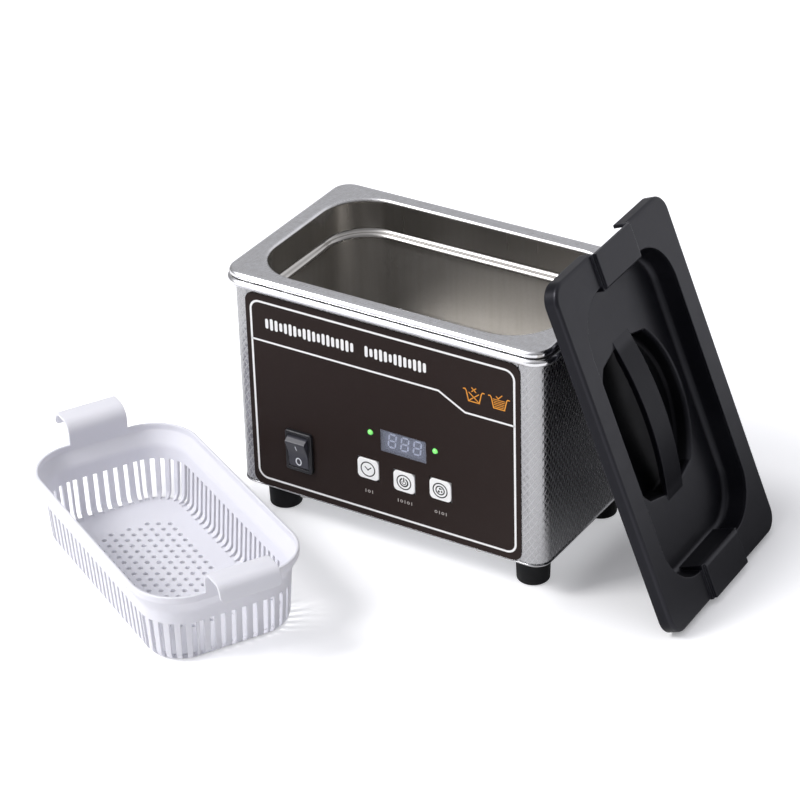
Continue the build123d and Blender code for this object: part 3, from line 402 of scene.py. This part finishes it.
def winding(name, color, scale, axis):
    """Close-wound enamelled wire, painted dark between the turns and light on them as shade
    and highlight.
    """
    mat = Material(name, Metallic=0.85, Coat_Weight=0.6, Coat_Roughness=0.15)
    wave = mat.node("TexWave", Scale=scale, Distortion=0.6, Detail=1.0, Vector=mat.coords())
    wave.bands_direction = axis
    turns = wave.outputs["Fac"]
    # painted shade and highlight: the bands run dark in the gaps between turns and light on
    # the turns
    return mat.surface(mat.mix(turns, shade(color, 0.45), shade(color, 1.2)),
                       mat.spread(mat.noise(300.0), 0.22, 0.34),
                       mat.bump(turns, strength=0.8, distance=0.00025))


def ceramic(name, first, second, rough=0.35):
    mat = Material(name, Specular_IOR_Level=0.5)
    grain = mat.noise(260.0, detail=4.0, rough=0.6)
    normal = mat.bump(mat.noise(1800.0, rough=0.6), strength=0.35, distance=0.00005,
                      normal=mat.bevel(0.0002))
    return mat.surface(mat.mix(grain, first, second),
                       mat.spread(grain, rough - 0.06, rough + 0.08), normal)


def wire_jackets():
    """PVC jackets: brown on the -Y side, blue on the +Y side."""
    mat = Material("wire_jackets", Specular_IOR_Level=0.5)
    y = mat.xyz()[1]
    base = mat.mix(mat.ramp(y, at=(0.0, 0.002)), (0.28, 0.09, 0.03), (0.03, 0.09, 0.42))
    stripe = mat.noise(120.0)
    base = mat.mix(mat.ramp(stripe, at=(0.45, 0.6), to=(0.0, 0.15)), base, (0.2, 0.18, 0.15))
    return mat.surface(base, mat.spread(stripe, 0.38, 0.5),
                       mat.bump(mat.noise(1500.0), strength=0.3, distance=0.00005))


# the edge colours given to plastic() below are painted onto the edges as highlights
LOOK = {
    "tank": tank_steel(),
    "case": case_steel("case_stainless_plain", pressed=False),
    "case_pressed": case_steel("case_stainless_embossed", pressed=True),
    "panel": panel_film(),
    "window": window_film(),
    "led": led_lens(),
    "zinc": metal("zinc_plated_sheet", (0.52, 0.53, 0.55), rough=0.36, brush=(3, 3, 3),
                  brush_scale=300, brush_depth=0.2, vary=0.12, smudge=0.1),
    "screw": metal("screw_zinc", (0.60, 0.60, 0.58), rough=0.28, brush=(8, 8, 1),
                   brush_scale=400, vary=0.1),
    "tinned": metal("tinned_brass", (0.76, 0.75, 0.72), rough=0.22, brush=(1, 20, 20),
                    brush_scale=200, vary=0.06),
    "brass": metal("turned_brass", (0.72, 0.54, 0.24), rough=0.26, brush=(4, 4, 60),
                   brush_scale=160, vary=0.1),
    "alu": metal("turned_aluminium", (0.74, 0.74, 0.76), rough=0.30, brush=(3, 3, 90),
                 brush_scale=120, vary=0.06),
    "steel_turned": metal("turned_steel", (0.46, 0.455, 0.45), rough=0.32,
                          brush=(3, 3, 90), brush_scale=120, vary=0.08),
    "anodised": metal("anodised_fins", (0.10, 0.10, 0.105), rough=0.42, brush=(1, 1, 40),
                      brush_scale=160, vary=0.12),
    "lid": lid_plastic(),
    "basket": plastic("basket_white_pp", (0.79, 0.79, 0.85), rough=0.34, grain=0.25,
                      grain_scale=1700, bevel=0.0005, vary=0.03, spec=0.45,
                      sss=0.25, painted_edge_color=(0.93, 0.93, 0.97)),
    "rubber": rubber("foot_rubber_black", (0.0055, 0.0055, 0.0065)),
    "seal": rubber("seal_sealant", (0.03, 0.03, 0.03), rough=0.5),
    "housing": plastic("switch_nylon_black", (0.013, 0.013, 0.016), rough=0.33, edge=0.5,
                       bevel=0.00025, painted_edge_color=(0.07, 0.07, 0.08)),
    "rocker": plastic("rocker_nylon", (0.040, 0.040, 0.052), rough=0.34, edge=0.6,
                      bevel=0.00035, painted_edge_color=(0.13, 0.13, 0.15)),
    "key": plastic("key_cap_white", (0.93, 0.93, 0.925), rough=0.30, edge=0.3,
                   bevel=0.0002, vary=0.02, grain=0.25, painted_edge_color=(0.9, 0.9, 0.9)),
    "dark": plastic("plunger_black", (0.03, 0.03, 0.032), rough=0.45),
    "tact": plastic("tact_body_dark", (0.055, 0.055, 0.06), rough=0.5),
    "module": plastic("digit_block_grey", (0.20, 0.21, 0.24), rough=0.5, edge=0.2,
                      vary=0.04, grain=0.1),
    "segments": ink("digit_bars_pale", (0.80, 0.82, 0.88), emit=0.45),
    "epoxy_chip": plastic("moulded_epoxy", (0.022, 0.022, 0.024), rough=0.5, edge=0.3),
    "connector": plastic("connector_nylon", (0.78, 0.76, 0.68), rough=0.45, sss=0.1),
    "film_cap": plastic("film_capacitor_red", (0.33, 0.035, 0.02), rough=0.32, coat=0.3),
    "elec_cap": plastic("capacitor_sleeve", (0.03, 0.05, 0.16), rough=0.3, coat=0.4),
    "inlet": plastic("inlet_black", (0.016, 0.016, 0.018), rough=0.42, edge=0.45,
                     bevel=0.0004, painted_edge_color=(0.08, 0.08, 0.09)),
    "bond": plastic("bond_epoxy_amber", (0.20, 0.13, 0.05), rough=0.25, coat=0.5),
    "board_v": circuit_board("board_mask_control", (0.02, 0.17, 0.07), upright=True),
    "board_h": circuit_board("board_mask_driver", (0.02, 0.15, 0.07), upright=False),
    "piezo": ceramic("piezo_silvered", (0.50, 0.49, 0.46), (0.38, 0.36, 0.33)),
    "ferrite": ceramic("ferrite_dark", (0.045, 0.045, 0.05), (0.075, 0.075, 0.08), rough=0.45),
    "fuse": ceramic("fuse_ceramic", (0.78, 0.77, 0.72), (0.70, 0.68, 0.62)),
    "copper": winding("winding_enamel", (0.60, 0.28, 0.10), scale=420.0, axis="Z"),
    "copper_x": winding("toroid_enamel", (0.60, 0.28, 0.10), scale=260.0, axis="X"),
    "wires": wire_jackets(),
    "leads": plastic("lead_jackets_red", (0.42, 0.03, 0.02), rough=0.42),
    "ribbon": plastic("ribbon_grey", (0.42, 0.42, 0.44), rough=0.45),
    "ink_white": ink("ink_white", (0.86, 0.86, 0.86), rough=0.45),
    "ink_orange": ink("ink_orange", (0.80, 0.32, 0.035), vary=0.12),
    "ink_black": ink("ink_black", (0.012, 0.012, 0.012)),
    "ink_grey": ink("ink_warm_grey", (0.42, 0.39, 0.37), vary=0.12),
    "ink_mark": ink("ink_mark_white", (0.75, 0.77, 0.82), rough=0.4),
}

# CAD piece: key in LOOK
FINISH = {
    "tank": "tank", "case_shell": "case", "bottom_plate": "zinc", "panel_overlay": "panel",
    "display_window": "window", "display_module": "module", "display_segments": "segments",
    "indicator_leds": "led", "led_legs": "tinned", "switch_housing": "housing",
    "switch_rocker": "rocker", "switch_pivot_pin": "tinned", "switch_terminals": "tinned",
    "key_timer": "key", "key_power": "key", "key_degas": "key",
    "tact_plunger_timer": "dark", "tact_plunger_power": "dark", "tact_plunger_degas": "dark",
    "tact_switches": "tact", "control_board": "board_v", "driver_board": "board_h",
    "control_board_posts": "brass", "driver_board_posts": "brass", "board_screws": "screw",
    "controller_chip": "epoxy_chip", "control_board_connector": "connector",
    "driver_connectors": "connector", "transducer_bond": "bond",
    "transducer_front_mass": "alu", "transducer_back_mass": "steel_turned",
    "transducer_bolt": "screw", "electrode_plates": "brass", "piezo_rings": "piezo",
    "transformer_core": "ferrite", "transformer_coil": "copper", "toroid_choke": "copper_x",
    "film_capacitors": "film_cap", "electrolytic_capacitors": "elec_cap",
    "heatsink": "anodised", "power_transistors": "epoxy_chip", "transistor_screws": "screw",
    "fuse": "fuse", "fuse_clips": "tinned", "inlet_socket": "inlet", "inlet_pins": "tinned",
    "inlet_screws": "screw", "m3_nuts": "screw", "earth_stud": "brass", "earth_nut": "brass",
    "mains_wires": "wires", "transducer_leads": "leads", "ribbon_cable": "ribbon",
    "tank_seal": "seal", "bottom_plate_screws": "screw", "feet": "rubber",
    "foot_screws": "screw", "lid": "lid", "basket": "basket",
}
for piece, key in FINISH.items():
    ob = PIECES[piece]
    if not ob.material_slots:
        ob.data.materials.append(LOOK[key])
    for slot in ob.material_slots:
        slot.material = LOOK[key]
for piece in PIECES:
    if piece not in FINISH:
        raise RuntimeError("no finish for " + piece)


# -------------------------------------------------------------- mesh helpers
def add_mesh(name, verts, faces, look, body, smooth=False):
    """Mesh from points in mm, riding on a body, with its faces turned outwards."""
    mesh = bpy.data.meshes.new(name)
    mesh.from_pydata([(x * MM, y * MM, z * MM) for x, y, z in verts], [], faces)
    mesh.validate()
    mesh.update()
    ob = bpy.data.objects.new(name, mesh)
    bpy.context.scene.collection.objects.link(ob)
    mesh.materials.append(LOOK[look])
    if smooth:
        mesh.polygons.foreach_set("use_smooth", [True] * len(mesh.polygons))
    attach(ob, body)
    bm = bmesh.new()
    bm.from_mesh(mesh)
    bmesh.ops.recalc_face_normals(bm, faces=bm.faces)
    bm.to_mesh(mesh)
    bm.free()
    return mesh


def unit(vector):
    return vector / np.linalg.norm(vector)


class Marks:
    """Flat raised strokes and discs (printing) laid on a surface, gathered in one mesh.
    place(u, v, h) gives the point h above the surface, in mm."""

    def __init__(self, place, lift=0.035, sink=0.02):
        self.place, self.lift, self.sink = place, lift, sink
        self.verts, self.faces = [], []

    def ring(self, left, right):
        """Four corners of a stroke's section; gives the index of the first."""
        first = len(self.verts)
        for (u, v), h in ((left, -self.sink), (right, -self.sink),
                          (right, self.lift), (left, self.lift)):
            self.verts.append(self.place(u, v, h))
        return first

    def stroke(self, points, width, closed=False, caps=True):
        points = [np.array(p, float) for p in points]
        count = len(points)
        half = width / 2
        steps = [points[(i + 1) % count] - points[i] for i in range(count)]
        if not closed:
            steps[-1] = steps[-2]
        sides = [np.array([-d[1], d[0]]) for d in map(unit, steps)]
        stations = []                       # point, offset to the stroke's left edge
        for i, point in enumerate(points):
            before = sides[i - 1 if closed or i > 0 else 0]
            mitre = unit(before + sides[i])
            stretch = min(2.5, 1.0 / max(0.2, float(before @ mitre)))
            stations.append((point, mitre * half * stretch))
        if not closed and caps:
            for end, inner in ((0, 1), (-1, -2)):
                point, offset = stations[end]
                outward = unit(point - points[inner])
                cap = [(point + outward * half * math.sin(a), offset * math.cos(a))
                       for a in (0.45, 0.9, 1.3)]
                stations = cap[::-1] + stations if end == 0 else stations + cap
        rings = [self.ring(p + offset, p - offset) for p, offset in stations]
        for i in range(len(rings) if closed else len(rings) - 1):
            a, b = rings[i], rings[(i + 1) % len(rings)]
            for k in range(4):
                self.faces.append((a + k, a + (k + 1) % 4, b + (k + 1) % 4, b + k))
        if not closed:
            a, b = rings[0], rings[-1]
            self.faces.append((a + 3, a + 2, a + 1, a))
            self.faces.append((b, b + 1, b + 2, b + 3))

    def circle(self, u, v, radius, width, steps=48, squeeze=1.0):
        turns = [2 * math.pi * k / steps for k in range(steps)]
        self.stroke([(u + squeeze * radius * math.cos(a), v + radius * math.sin(a))
                     for a in turns], width, closed=True)

    def disc(self, u, v, radius, steps):
        low = len(self.verts)
        top = low + steps
        for h in (-self.sink, self.lift):
            for k in range(steps):
                a = 2 * math.pi * k / steps
                self.verts.append(self.place(u + radius * math.cos(a),
                                             v + radius * math.sin(a), h))
        self.faces.append(tuple(range(low, top))[::-1])
        self.faces.append(tuple(range(top, top + steps)))
        for k in range(steps):
            after = (k + 1) % steps
            self.faces.append((low + k, low + after, top + after, top + k))

    def build(self, name, look, body="cleaner"):
        add_mesh(name, self.verts, self.faces, look, body)


def arc(u, v, radius, start, end, steps=8):
    """Points from the start angle to the end angle, in degrees."""
    angles = [math.radians(start + (end - start) * k / steps) for k in range(steps + 1)]
    return [(u + radius * math.cos(a), v + radius * math.sin(a)) for a in angles]


def rounded(left, right, low, high, r):
    return (arc(right - r, high - r, r, 90, 0) + arc(right - r, low + r, r, 0, -90)
            + arc(left + r, low + r, r, 270, 180) + arc(left + r, high - r, r, 180, 90))


# --------------------------------------------- printing on the panel, x and z in mm
PANEL_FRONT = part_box("panel_overlay")[0].y / MM
FRAME_LEFT, FRAME_RIGHT, FRAME_LOW, FRAME_HIGH = -74.2, 71.6, 23.2, 122.6
DIVIDER_LEFT_Z, DIVIDER_RIGHT_Z = 101.3, 93.5
WAVE_LEFT, WAVE_PITCH, WAVE_Z = -65.2, 2.68, 111.4
CUP_Z = 103.4
CUP_X, FULL_CUP_X = 49.9, 63.4
# left half of a cup's outline, from its middle
CUP_HALF = [(-5.6, 3.1), (-4.7, 3.2), (-4.1, 2.4), (-2.9, -2.9)]
TICK_Z, TICK_PITCH = 33.45, 1.9
KEY_TICKS = ((-10.0, 3), (10.3, 5), (30.6, 4))     # middle x, number of ticks
LAMP_XS, LAMP_Z = (-8.3, 27.9), 67.2


def on_panel(u, v, h):
    return (u, PANEL_FRONT - h, v)


def print_frame():
    """Rounded frame, with a divider that steps down to the right."""
    marks = Marks(on_panel)
    marks.stroke(rounded(FRAME_LEFT, FRAME_RIGHT, FRAME_LOW, FRAME_HIGH, r=5.0),
                 width=1.1, closed=True)
    marks.stroke([(FRAME_LEFT, DIVIDER_LEFT_Z), (30.5, DIVIDER_LEFT_Z),
                  (44.9, DIVIDER_RIGHT_Z), (FRAME_RIGHT, DIVIDER_RIGHT_Z)],
                 width=1.0, caps=False)
    marks.build("panel_frame_print", "ink_white")


def print_wave():
    """A sound wave in upright bars, with a gap of two bars."""
    marks = Marks(on_panel)
    for k in range(34):
        if k in (19, 20):
            continue
        x = WAVE_LEFT + k * WAVE_PITCH
        half = 1.2 + 1.15 * abs(math.sin(k * 0.83 + 0.5)) ** 0.8
        marks.stroke([(x, WAVE_Z - half), (x, WAVE_Z + half)], width=1.7)
    marks.build("panel_wave_print", "ink_white")


def print_levels():
    """Two cups: a crossed one under a small cross, a full one under a small tick."""
    marks = Marks(on_panel)

    def draw(cup_x, points, width):
        marks.stroke([(cup_x + u, CUP_Z + v) for u, v in points], width)

    outline = CUP_HALF + [(-u, v) for u, v in reversed(CUP_HALF)]
    draw(CUP_X, outline, width=0.55)
    for side in (-1, 1):
        draw(CUP_X, [(side * 2.6, 1.7), (-side * 2.3, -2.3)], width=0.5)
    draw(FULL_CUP_X, outline, width=0.55)
    for k in range(5):
        rise = k * 0.95
        half = 2.35 + 0.21 * rise
        draw(FULL_CUP_X, [(-half, rise - 2.0), (half, rise - 2.0)], width=0.36)
    for line in ([(48.8, 107.9), (51.0, 105.9)], [(51.0, 107.9), (48.8, 105.9)],
                 [(62.0, 106.9), (63.0, 105.9), (65.0, 108.0)]):
        marks.stroke(line, width=0.5)
    marks.build("panel_level_print", "ink_orange")


def print_key_ticks():
    """Rows of bars and small rings in turn, one row for each key."""
    marks = Marks(on_panel)
    for middle, count in KEY_TICKS:
        for k in range(count):
            x = middle + (k - (count - 1) / 2) * TICK_PITCH
            if (k + count) % 2:
                marks.stroke([(x, TICK_Z - 0.75), (x, TICK_Z + 0.75)], width=0.42)
            else:
                marks.circle(x, TICK_Z, radius=0.62, width=0.36, steps=18)
    marks.build("panel_key_ticks_print", "ink_grey")


def print_lamp_rings():
    """Thin seam of ink round each lamp."""
    marks = Marks(on_panel, lift=0.02)
    for x in LAMP_XS:
        marks.circle(x, LAMP_Z, radius=1.85, width=0.22, steps=40)
    marks.build("panel_lamp_rings_print", "ink_black")


print_frame()
print_wave()
print_levels()
print_key_ticks()
print_lamp_rings()

# --------------------------------------------------------- icons on the keys
ICON_RADIUS = 3.85


def clock_icon(marks):
    hub = (0.0, -0.35)
    marks.circle(0, 0, ICON_RADIUS, width=0.62)
    marks.stroke([(-1.55, 1.05), hub, (1.75, 1.15)], width=0.55)
    marks.disc(*hub, radius=0.42, steps=18)


def power_icon(marks):
    marks.circle(0, 0, ICON_RADIUS, width=0.58)
    marks.stroke(arc(0, -0.05, 2.15, 122, 418, steps=30), width=0.72)
    marks.stroke([(0, 0.2), (0, 2.35)], width=0.66)
    marks.stroke(arc(0, -0.05, 1.1, 150, 390, steps=16), width=0.36)


def bubble_icon(marks):
    marks.circle(0, 0, ICON_RADIUS, width=0.62)
    marks.circle(0, 0, radius=2.3, width=0.62, steps=40)
    for u, v, radius in ((-0.75, -0.75, 0.62), (0.85, -0.55, 0.5), (-0.1, 0.95, 0.55)):
        marks.disc(u, v, radius, steps=20)
    marks.circle(0.95, 0.9, radius=0.34, width=0.2, steps=16)


def mark_key(key, draw):
    """Draws an icon round the middle of a key's front face."""
    low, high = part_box("key_" + key)
    middle_x = (low.x + high.x) / 2 / MM
    middle_z = (low.z + high.z) / 2 / MM
    front = low.y / MM
    marks = Marks(lambda u, v, h: (middle_x + u, front - h, middle_z + v), lift=0.03)
    draw(marks)
    marks.build(f"key_{key}_icon", "ink_black", key + "_key")


mark_key("timer", clock_icon)
mark_key("power", power_icon)
mark_key("degas", bubble_icon)

# ------------------------------------------------------ marks on the rocker
PIVOT_X, PIVOT_Y, PIVOT_Z = -49.2, -50.0, 44.9
ROCKER_TILT = math.radians(13.0)
VALLEY_OUT = 4.0                            # from the pivot out to the valley
FACE_SLOPE = 1.2 / 7.9                      # rise of each flat over its length


def on_rocker(u, v, h):
    """u across, v up the rocker's face; the face is two flats meeting in a shallow valley."""
    y = -VALLEY_OUT - FACE_SLOPE * abs(v) - h * math.cos(math.atan(FACE_SLOPE))
    return (PIVOT_X + u,
            PIVOT_Y + y * math.cos(ROCKER_TILT) - v * math.sin(ROCKER_TILT),
            PIVOT_Z + y * math.sin(ROCKER_TILT) + v * math.cos(ROCKER_TILT))


def mark_rocker():
    """A bar above the valley and an oval below it."""
    marks = Marks(on_rocker, lift=0.05, sink=0.03)
    marks.stroke([(0, 5.7), (0, 3.0)], width=0.5)
    marks.circle(0, -4.4, radius=1.95, width=0.62, steps=40, squeeze=0.74)
    marks.build("switch_rocker_marks", "ink_mark", "rocker")


mark_rocker()

# ------------------------------------------- embossed skin of the case sheet, mm
CASE_X, CASE_Y, CASE_R = 85.8, 50.9, 7.5           # outside half sizes, corner radius
DIAMOND_WIDTH, DIAMOND_HEIGHT = 3.2, 4.7
DIAMOND_STEPS = 6                                  # mesh steps over one diamond
FLAT_X, FLAT_Y = CASE_X - CASE_R, CASE_Y - CASE_R  # half lengths of the flats
CORNER = CASE_R * math.pi / 2
# counter-clockwise from the front: flat's start, direction and length,
# then the centre and start angle of the corner after it
CASE_SIDES = [
    ((-FLAT_X, -CASE_Y), (1, 0), 2 * FLAT_X, (FLAT_X, -FLAT_Y), -90),
    ((CASE_X, -FLAT_Y), (0, 1), 2 * FLAT_Y, (FLAT_X, FLAT_Y), 0),
    ((FLAT_X, CASE_Y), (-1, 0), 2 * FLAT_X, (-FLAT_X, FLAT_Y), 90),
    ((-CASE_X, FLAT_Y), (0, -1), 2 * FLAT_Y, (-FLAT_X, -FLAT_Y), 180),
]
GIRTH = sum(length for side in CASE_SIDES for length in (side[2], CORNER))
PITCH = GIRTH / round(GIRTH / DIAMOND_WIDTH)       # whole number of diamonds round the case


def on_case(s):
    """Point and outward normal at the distance s round the case."""
    s = s % GIRTH
    slack = 1e-9
    for (x, y), (dx, dy), length, centre, start in CASE_SIDES:
        if s <= length + slack:
            return (x + dx * s, y + dy * s), (dy, -dx)
        s -= length
        if s <= CORNER + slack:
            a = math.radians(start) + s / CASE_R
            nx, ny = math.cos(a), math.sin(a)
            return (centre[0] + CASE_R * nx, centre[1] + CASE_R * ny), (nx, ny)
        s -= CORNER


def relief_at(s, z):
    """0 in the grooves between staggered diamonds, 1 on top of them."""
    rising, falling = s / PITCH + z / DIAMOND_HEIGHT, s / PITCH - z / DIAMOND_HEIGHT
    groove = min(0.5 - abs(v - math.floor(v) - 0.5) for v in (rising, falling))
    t = min(1.0, groove / 0.20)
    return t * t * (3 - 2 * t)


def emboss(name, start, end, low, high):
    """Closed thin shell over the sheet with raised staggered diamonds."""
    step = PITCH / DIAMOND_STEPS
    first = math.ceil(start / step)
    cols = math.floor(end / step) - first
    rows = max(2, round((high - low) / (DIAMOND_HEIGHT / DIAMOND_STEPS)))
    verts, faces, relief, inner = [], [], [], []
    for i in range(cols + 1):
        s = (first + i) * step
        (x, y), (nx, ny) = on_case(s)
        for j in range(rows + 1):
            z = low + (high - low) * j / rows
            relief.append(relief_at(s, z))
            h = 0.012 if j in (0, rows) else 0.03 + 0.15 * relief[-1]
            verts.append((x + nx * h, y + ny * h, z))
        inner += [(x - nx * 0.15, y - ny * 0.15, z) for z in (low, high)]
    back = len(verts)
    verts += inner
    stride = rows + 1
    for i in range(cols):
        for j in range(rows):
            a, b = i * stride + j, (i + 1) * stride + j
            faces.append((a, b, b + 1, a + 1))
    for i in range(cols):
        a, b = back + 2 * i, back + 2 * i + 2
        faces.append((a, a + 1, b + 1, b))                                # back
        faces.append((i * stride, a, b, (i + 1) * stride))                # bottom
        faces.append((i * stride + rows, (i + 1) * stride + rows, b + 1, a + 1))   # top
    last = cols * stride
    end_back = back + 2 * cols
    faces.append((back + 1, back, *range(stride)))
    faces.append((end_back, end_back + 1, *range(last + rows, last - 1, -1)))
    mesh = add_mesh(name, verts, faces, "case_pressed", "cleaner",
                    smooth=True)
    layer = mesh.attributes.new("relief", "FLOAT", "POINT")
    relief += [1.0] * (len(mesh.vertices) - len(relief))
    layer.data.foreach_set("value", relief)
    # the narrow end walls stay flat shaded so they don't smear the relief
    for face in mesh.polygons:
        if len(face.vertices) > 4:
            face.use_smooth = False


TUCK = 1.5                                  # the skin runs this far under the panel
PANEL_RIGHT = (74.6 - TUCK) + FLAT_X        # distances round the case
PANEL_LEFT = (-77.2 + TUCK) + FLAT_X
BACK_START = 2 * FLAT_X + CORNER + 2 * FLAT_Y + CORNER
GAP_RIGHT = BACK_START + (FLAT_X + 25.0)    # gap in the back, from x = -25 to x = -71
GAP_LEFT = BACK_START + (FLAT_X + 71.0)
SKIN_LOW, SKIN_HIGH = 19.35, 128.6
emboss("case_emboss_right", PANEL_RIGHT, GAP_RIGHT, SKIN_LOW, SKIN_HIGH)
emboss("case_emboss_back_low", GAP_RIGHT, GAP_LEFT, SKIN_LOW, 36.0)
emboss("case_emboss_back_high", GAP_RIGHT, GAP_LEFT, 56.0, SKIN_HIGH)
emboss("case_emboss_left", GAP_LEFT, GIRTH + PANEL_LEFT, SKIN_LOW, SKIN_HIGH)
emboss("case_emboss_front_top", PANEL_LEFT, PANEL_RIGHT, 124.8, SKIN_HIGH)

# --------------------------------------------------------------------- floor
FLOOR_HALF, FLOOR_DROP = 6, 0.0002


def floor_paper():
    """Pale paper that glows a little; reflections see it dark at the back right."""
    mat = Material("floor_paper", Specular_IOR_Level=0.2,
                   Emission_Color=(0.97, 0.975, 1.0))
    paper = mat.noise(40.0, detail=4.0, rough=0.6)
    x, y = mat.xyz()[:2]
    rays = mat.node("LightPath").outputs
    shadow = mat.mul(mat.fade(x, at=(0.03, 0.12)), mat.fade(y, at=(-0.10, 0.06)))
    near = mat.mul(mat.fade(x, at=(0.45, 0.25)), mat.fade(y, at=(0.50, 0.30)))
    shadow = mat.mul(mat.mul(shadow, near), rays["Is Glossy Ray"])
    bright = mat.mix(paper, (0.90, 0.90, 0.915), (0.92, 0.92, 0.93))
    base = mat.mix(shadow, bright, (0.10, 0.10, 0.105))
    # the glow is weaker under the lid
    core = mat.mul(
        mat.mul(mat.fade(x, at=(0.075, 0.10)), mat.fade(x, at=(0.19, 0.14))),
        mat.mul(mat.fade(y, at=(-0.075, -0.03)), mat.fade(y, at=(0.12, 0.07))))
    glow = mat.add(mat.mul(rays["Is Camera Ray"], mat.ramp(core, to=(0.42, 0.14))),
                   mat.mul(mat.sub(rays["Is Glossy Ray"], shadow), 0.16))
    mat.set(Emission_Strength=glow)
    return mat.surface(base, mat.spread(paper, 0.55, 0.65))


floor_mesh = bpy.data.meshes.new("floor")
floor_mesh.from_pydata([(x * FLOOR_HALF, y * FLOOR_HALF, 0)
                        for x, y in ((-1, -1), (1, -1), (1, 1), (-1, 1))], [], [(0, 1, 2, 3)])
floor = bpy.data.objects.new("floor", floor_mesh)
bpy.context.scene.collection.objects.link(floor)
floor.location.z = -FLOOR_DROP
floor_mesh.materials.append(floor_paper())

# --------------------------------------------------------------------- light
scene = bpy.context.scene
scene.view_settings.view_transform = "Standard"
scene.view_settings.look = "None"
scene.view_settings.exposure = 0.0

AMBIENT, BACKDROP = 0.30, 0.97
# Soft bright patches: azimuth from -Y towards +X, elevation, sharpness, gain
LOBES = (
    (-43, 45, 14.0, 2.6),                   # window, front left
    (-30, 14, 18.0, 0.95),                  # low front left
    (148, 24, 7.0, 0.75),                   # pale wall, back right
    (-150, 32, 10.0, 0.22),                 # back left
    (0, 90, 5.0, 0.30),                     # ceiling
)


def towards(azimuth, elevation):
    """Direction from angles in radians, the azimuth from -Y towards +X."""
    return (math.sin(azimuth) * math.cos(elevation),
            -math.cos(azimuth) * math.cos(elevation), math.sin(elevation))


def build_world():
    world = bpy.data.worlds.new("studio")
    scene.world = world
    world.use_nodes = True
    sky = Tree(world.node_tree)
    output = sky.node("OutputWorld")
    x, y, z = sky.node("SeparateXYZ", sky.node("TexCoord").outputs["Generated"]).outputs
    glow = AMBIENT
    for azimuth, elevation, sharpness, gain in LOBES:
        dx, dy, dz = towards(math.radians(azimuth), math.radians(elevation))
        facing = sky.add(sky.add(sky.mul(x, dx), sky.mul(y, dy)), sky.mul(z, dz))
        facing = sky.calc("MAXIMUM", facing, 0.0)
        glow = sky.add(glow, sky.mul(sky.calc("POWER", facing, sharpness), gain))
    # seen directly, the backdrop is the same pale tone as the floor
    seen = sky.node("LightPath").outputs["Is Camera Ray"]
    glow = sky.add(sky.mul(glow, sky.sub(1.0, seen)), sky.mul(seen, BACKDROP))
    tone = sky.node("CombineColor", *(sky.mul(glow, gain) for gain in (0.985, 0.985, 1.02)))
    background = sky.node("Background", tone.outputs[0], 1.0)
    sky.feed(output.inputs[0], background.outputs[0])


def build_key_light():
    """Square lamp, high at the front left."""
    light = bpy.data.lights.new("key_left", "AREA")
    light.shape = "RECTANGLE"
    light.size = light.size_y = 0.55
    light.energy = 16.0
    light.color = (1.0, 0.99, 0.975)
    ob = bpy.data.objects.new("key_left", light)
    scene.collection.objects.link(ob)
    place, target = (-0.85, -0.95, 1.35), (-0.03, -0.05, 0.05)
    ob.location = place
    aim = Vector(target) - Vector(place)
    ob.rotation_euler = aim.to_track_quat("-Z", "Y").to_euler()


build_world()
build_key_light()

# -------------------------------------------------------------------- camera
CAM_AZIMUTH, CAM_ELEVATION = math.radians(31.966), math.radians(30.577)
CAM_ROLL = math.radians(-1.488)
CAM_DISTANCE = 1573.422                     # mm
CAM_TARGET = Vector((-10.468, 0.0, 49.99))  # mm


def build_camera():
    back = Vector(towards(CAM_AZIMUTH, CAM_ELEVATION))
    forward = -back
    level = forward.cross(Vector((0, 0, 1))).normalized()
    upright = level.cross(forward)
    right = level * math.cos(CAM_ROLL) + upright * math.sin(CAM_ROLL)
    up = -level * math.sin(CAM_ROLL) + upright * math.cos(CAM_ROLL)
    pose = Matrix((right, up, back)).transposed().to_4x4()
    pose.translation = (CAM_TARGET - forward * CAM_DISTANCE) * MM
    lens = bpy.data.cameras.new("camera")
    camera = bpy.data.objects.new("camera", lens)
    scene.collection.objects.link(camera)
    camera.matrix_world = pose
    lens.lens = 143.425
    lens.sensor_width = 36.0
    lens.shift_x = -0.02846
    lens.shift_y = 0.01774
    lens.clip_start = 0.05
    lens.clip_end = 30.0
    scene.camera = camera


build_camera()
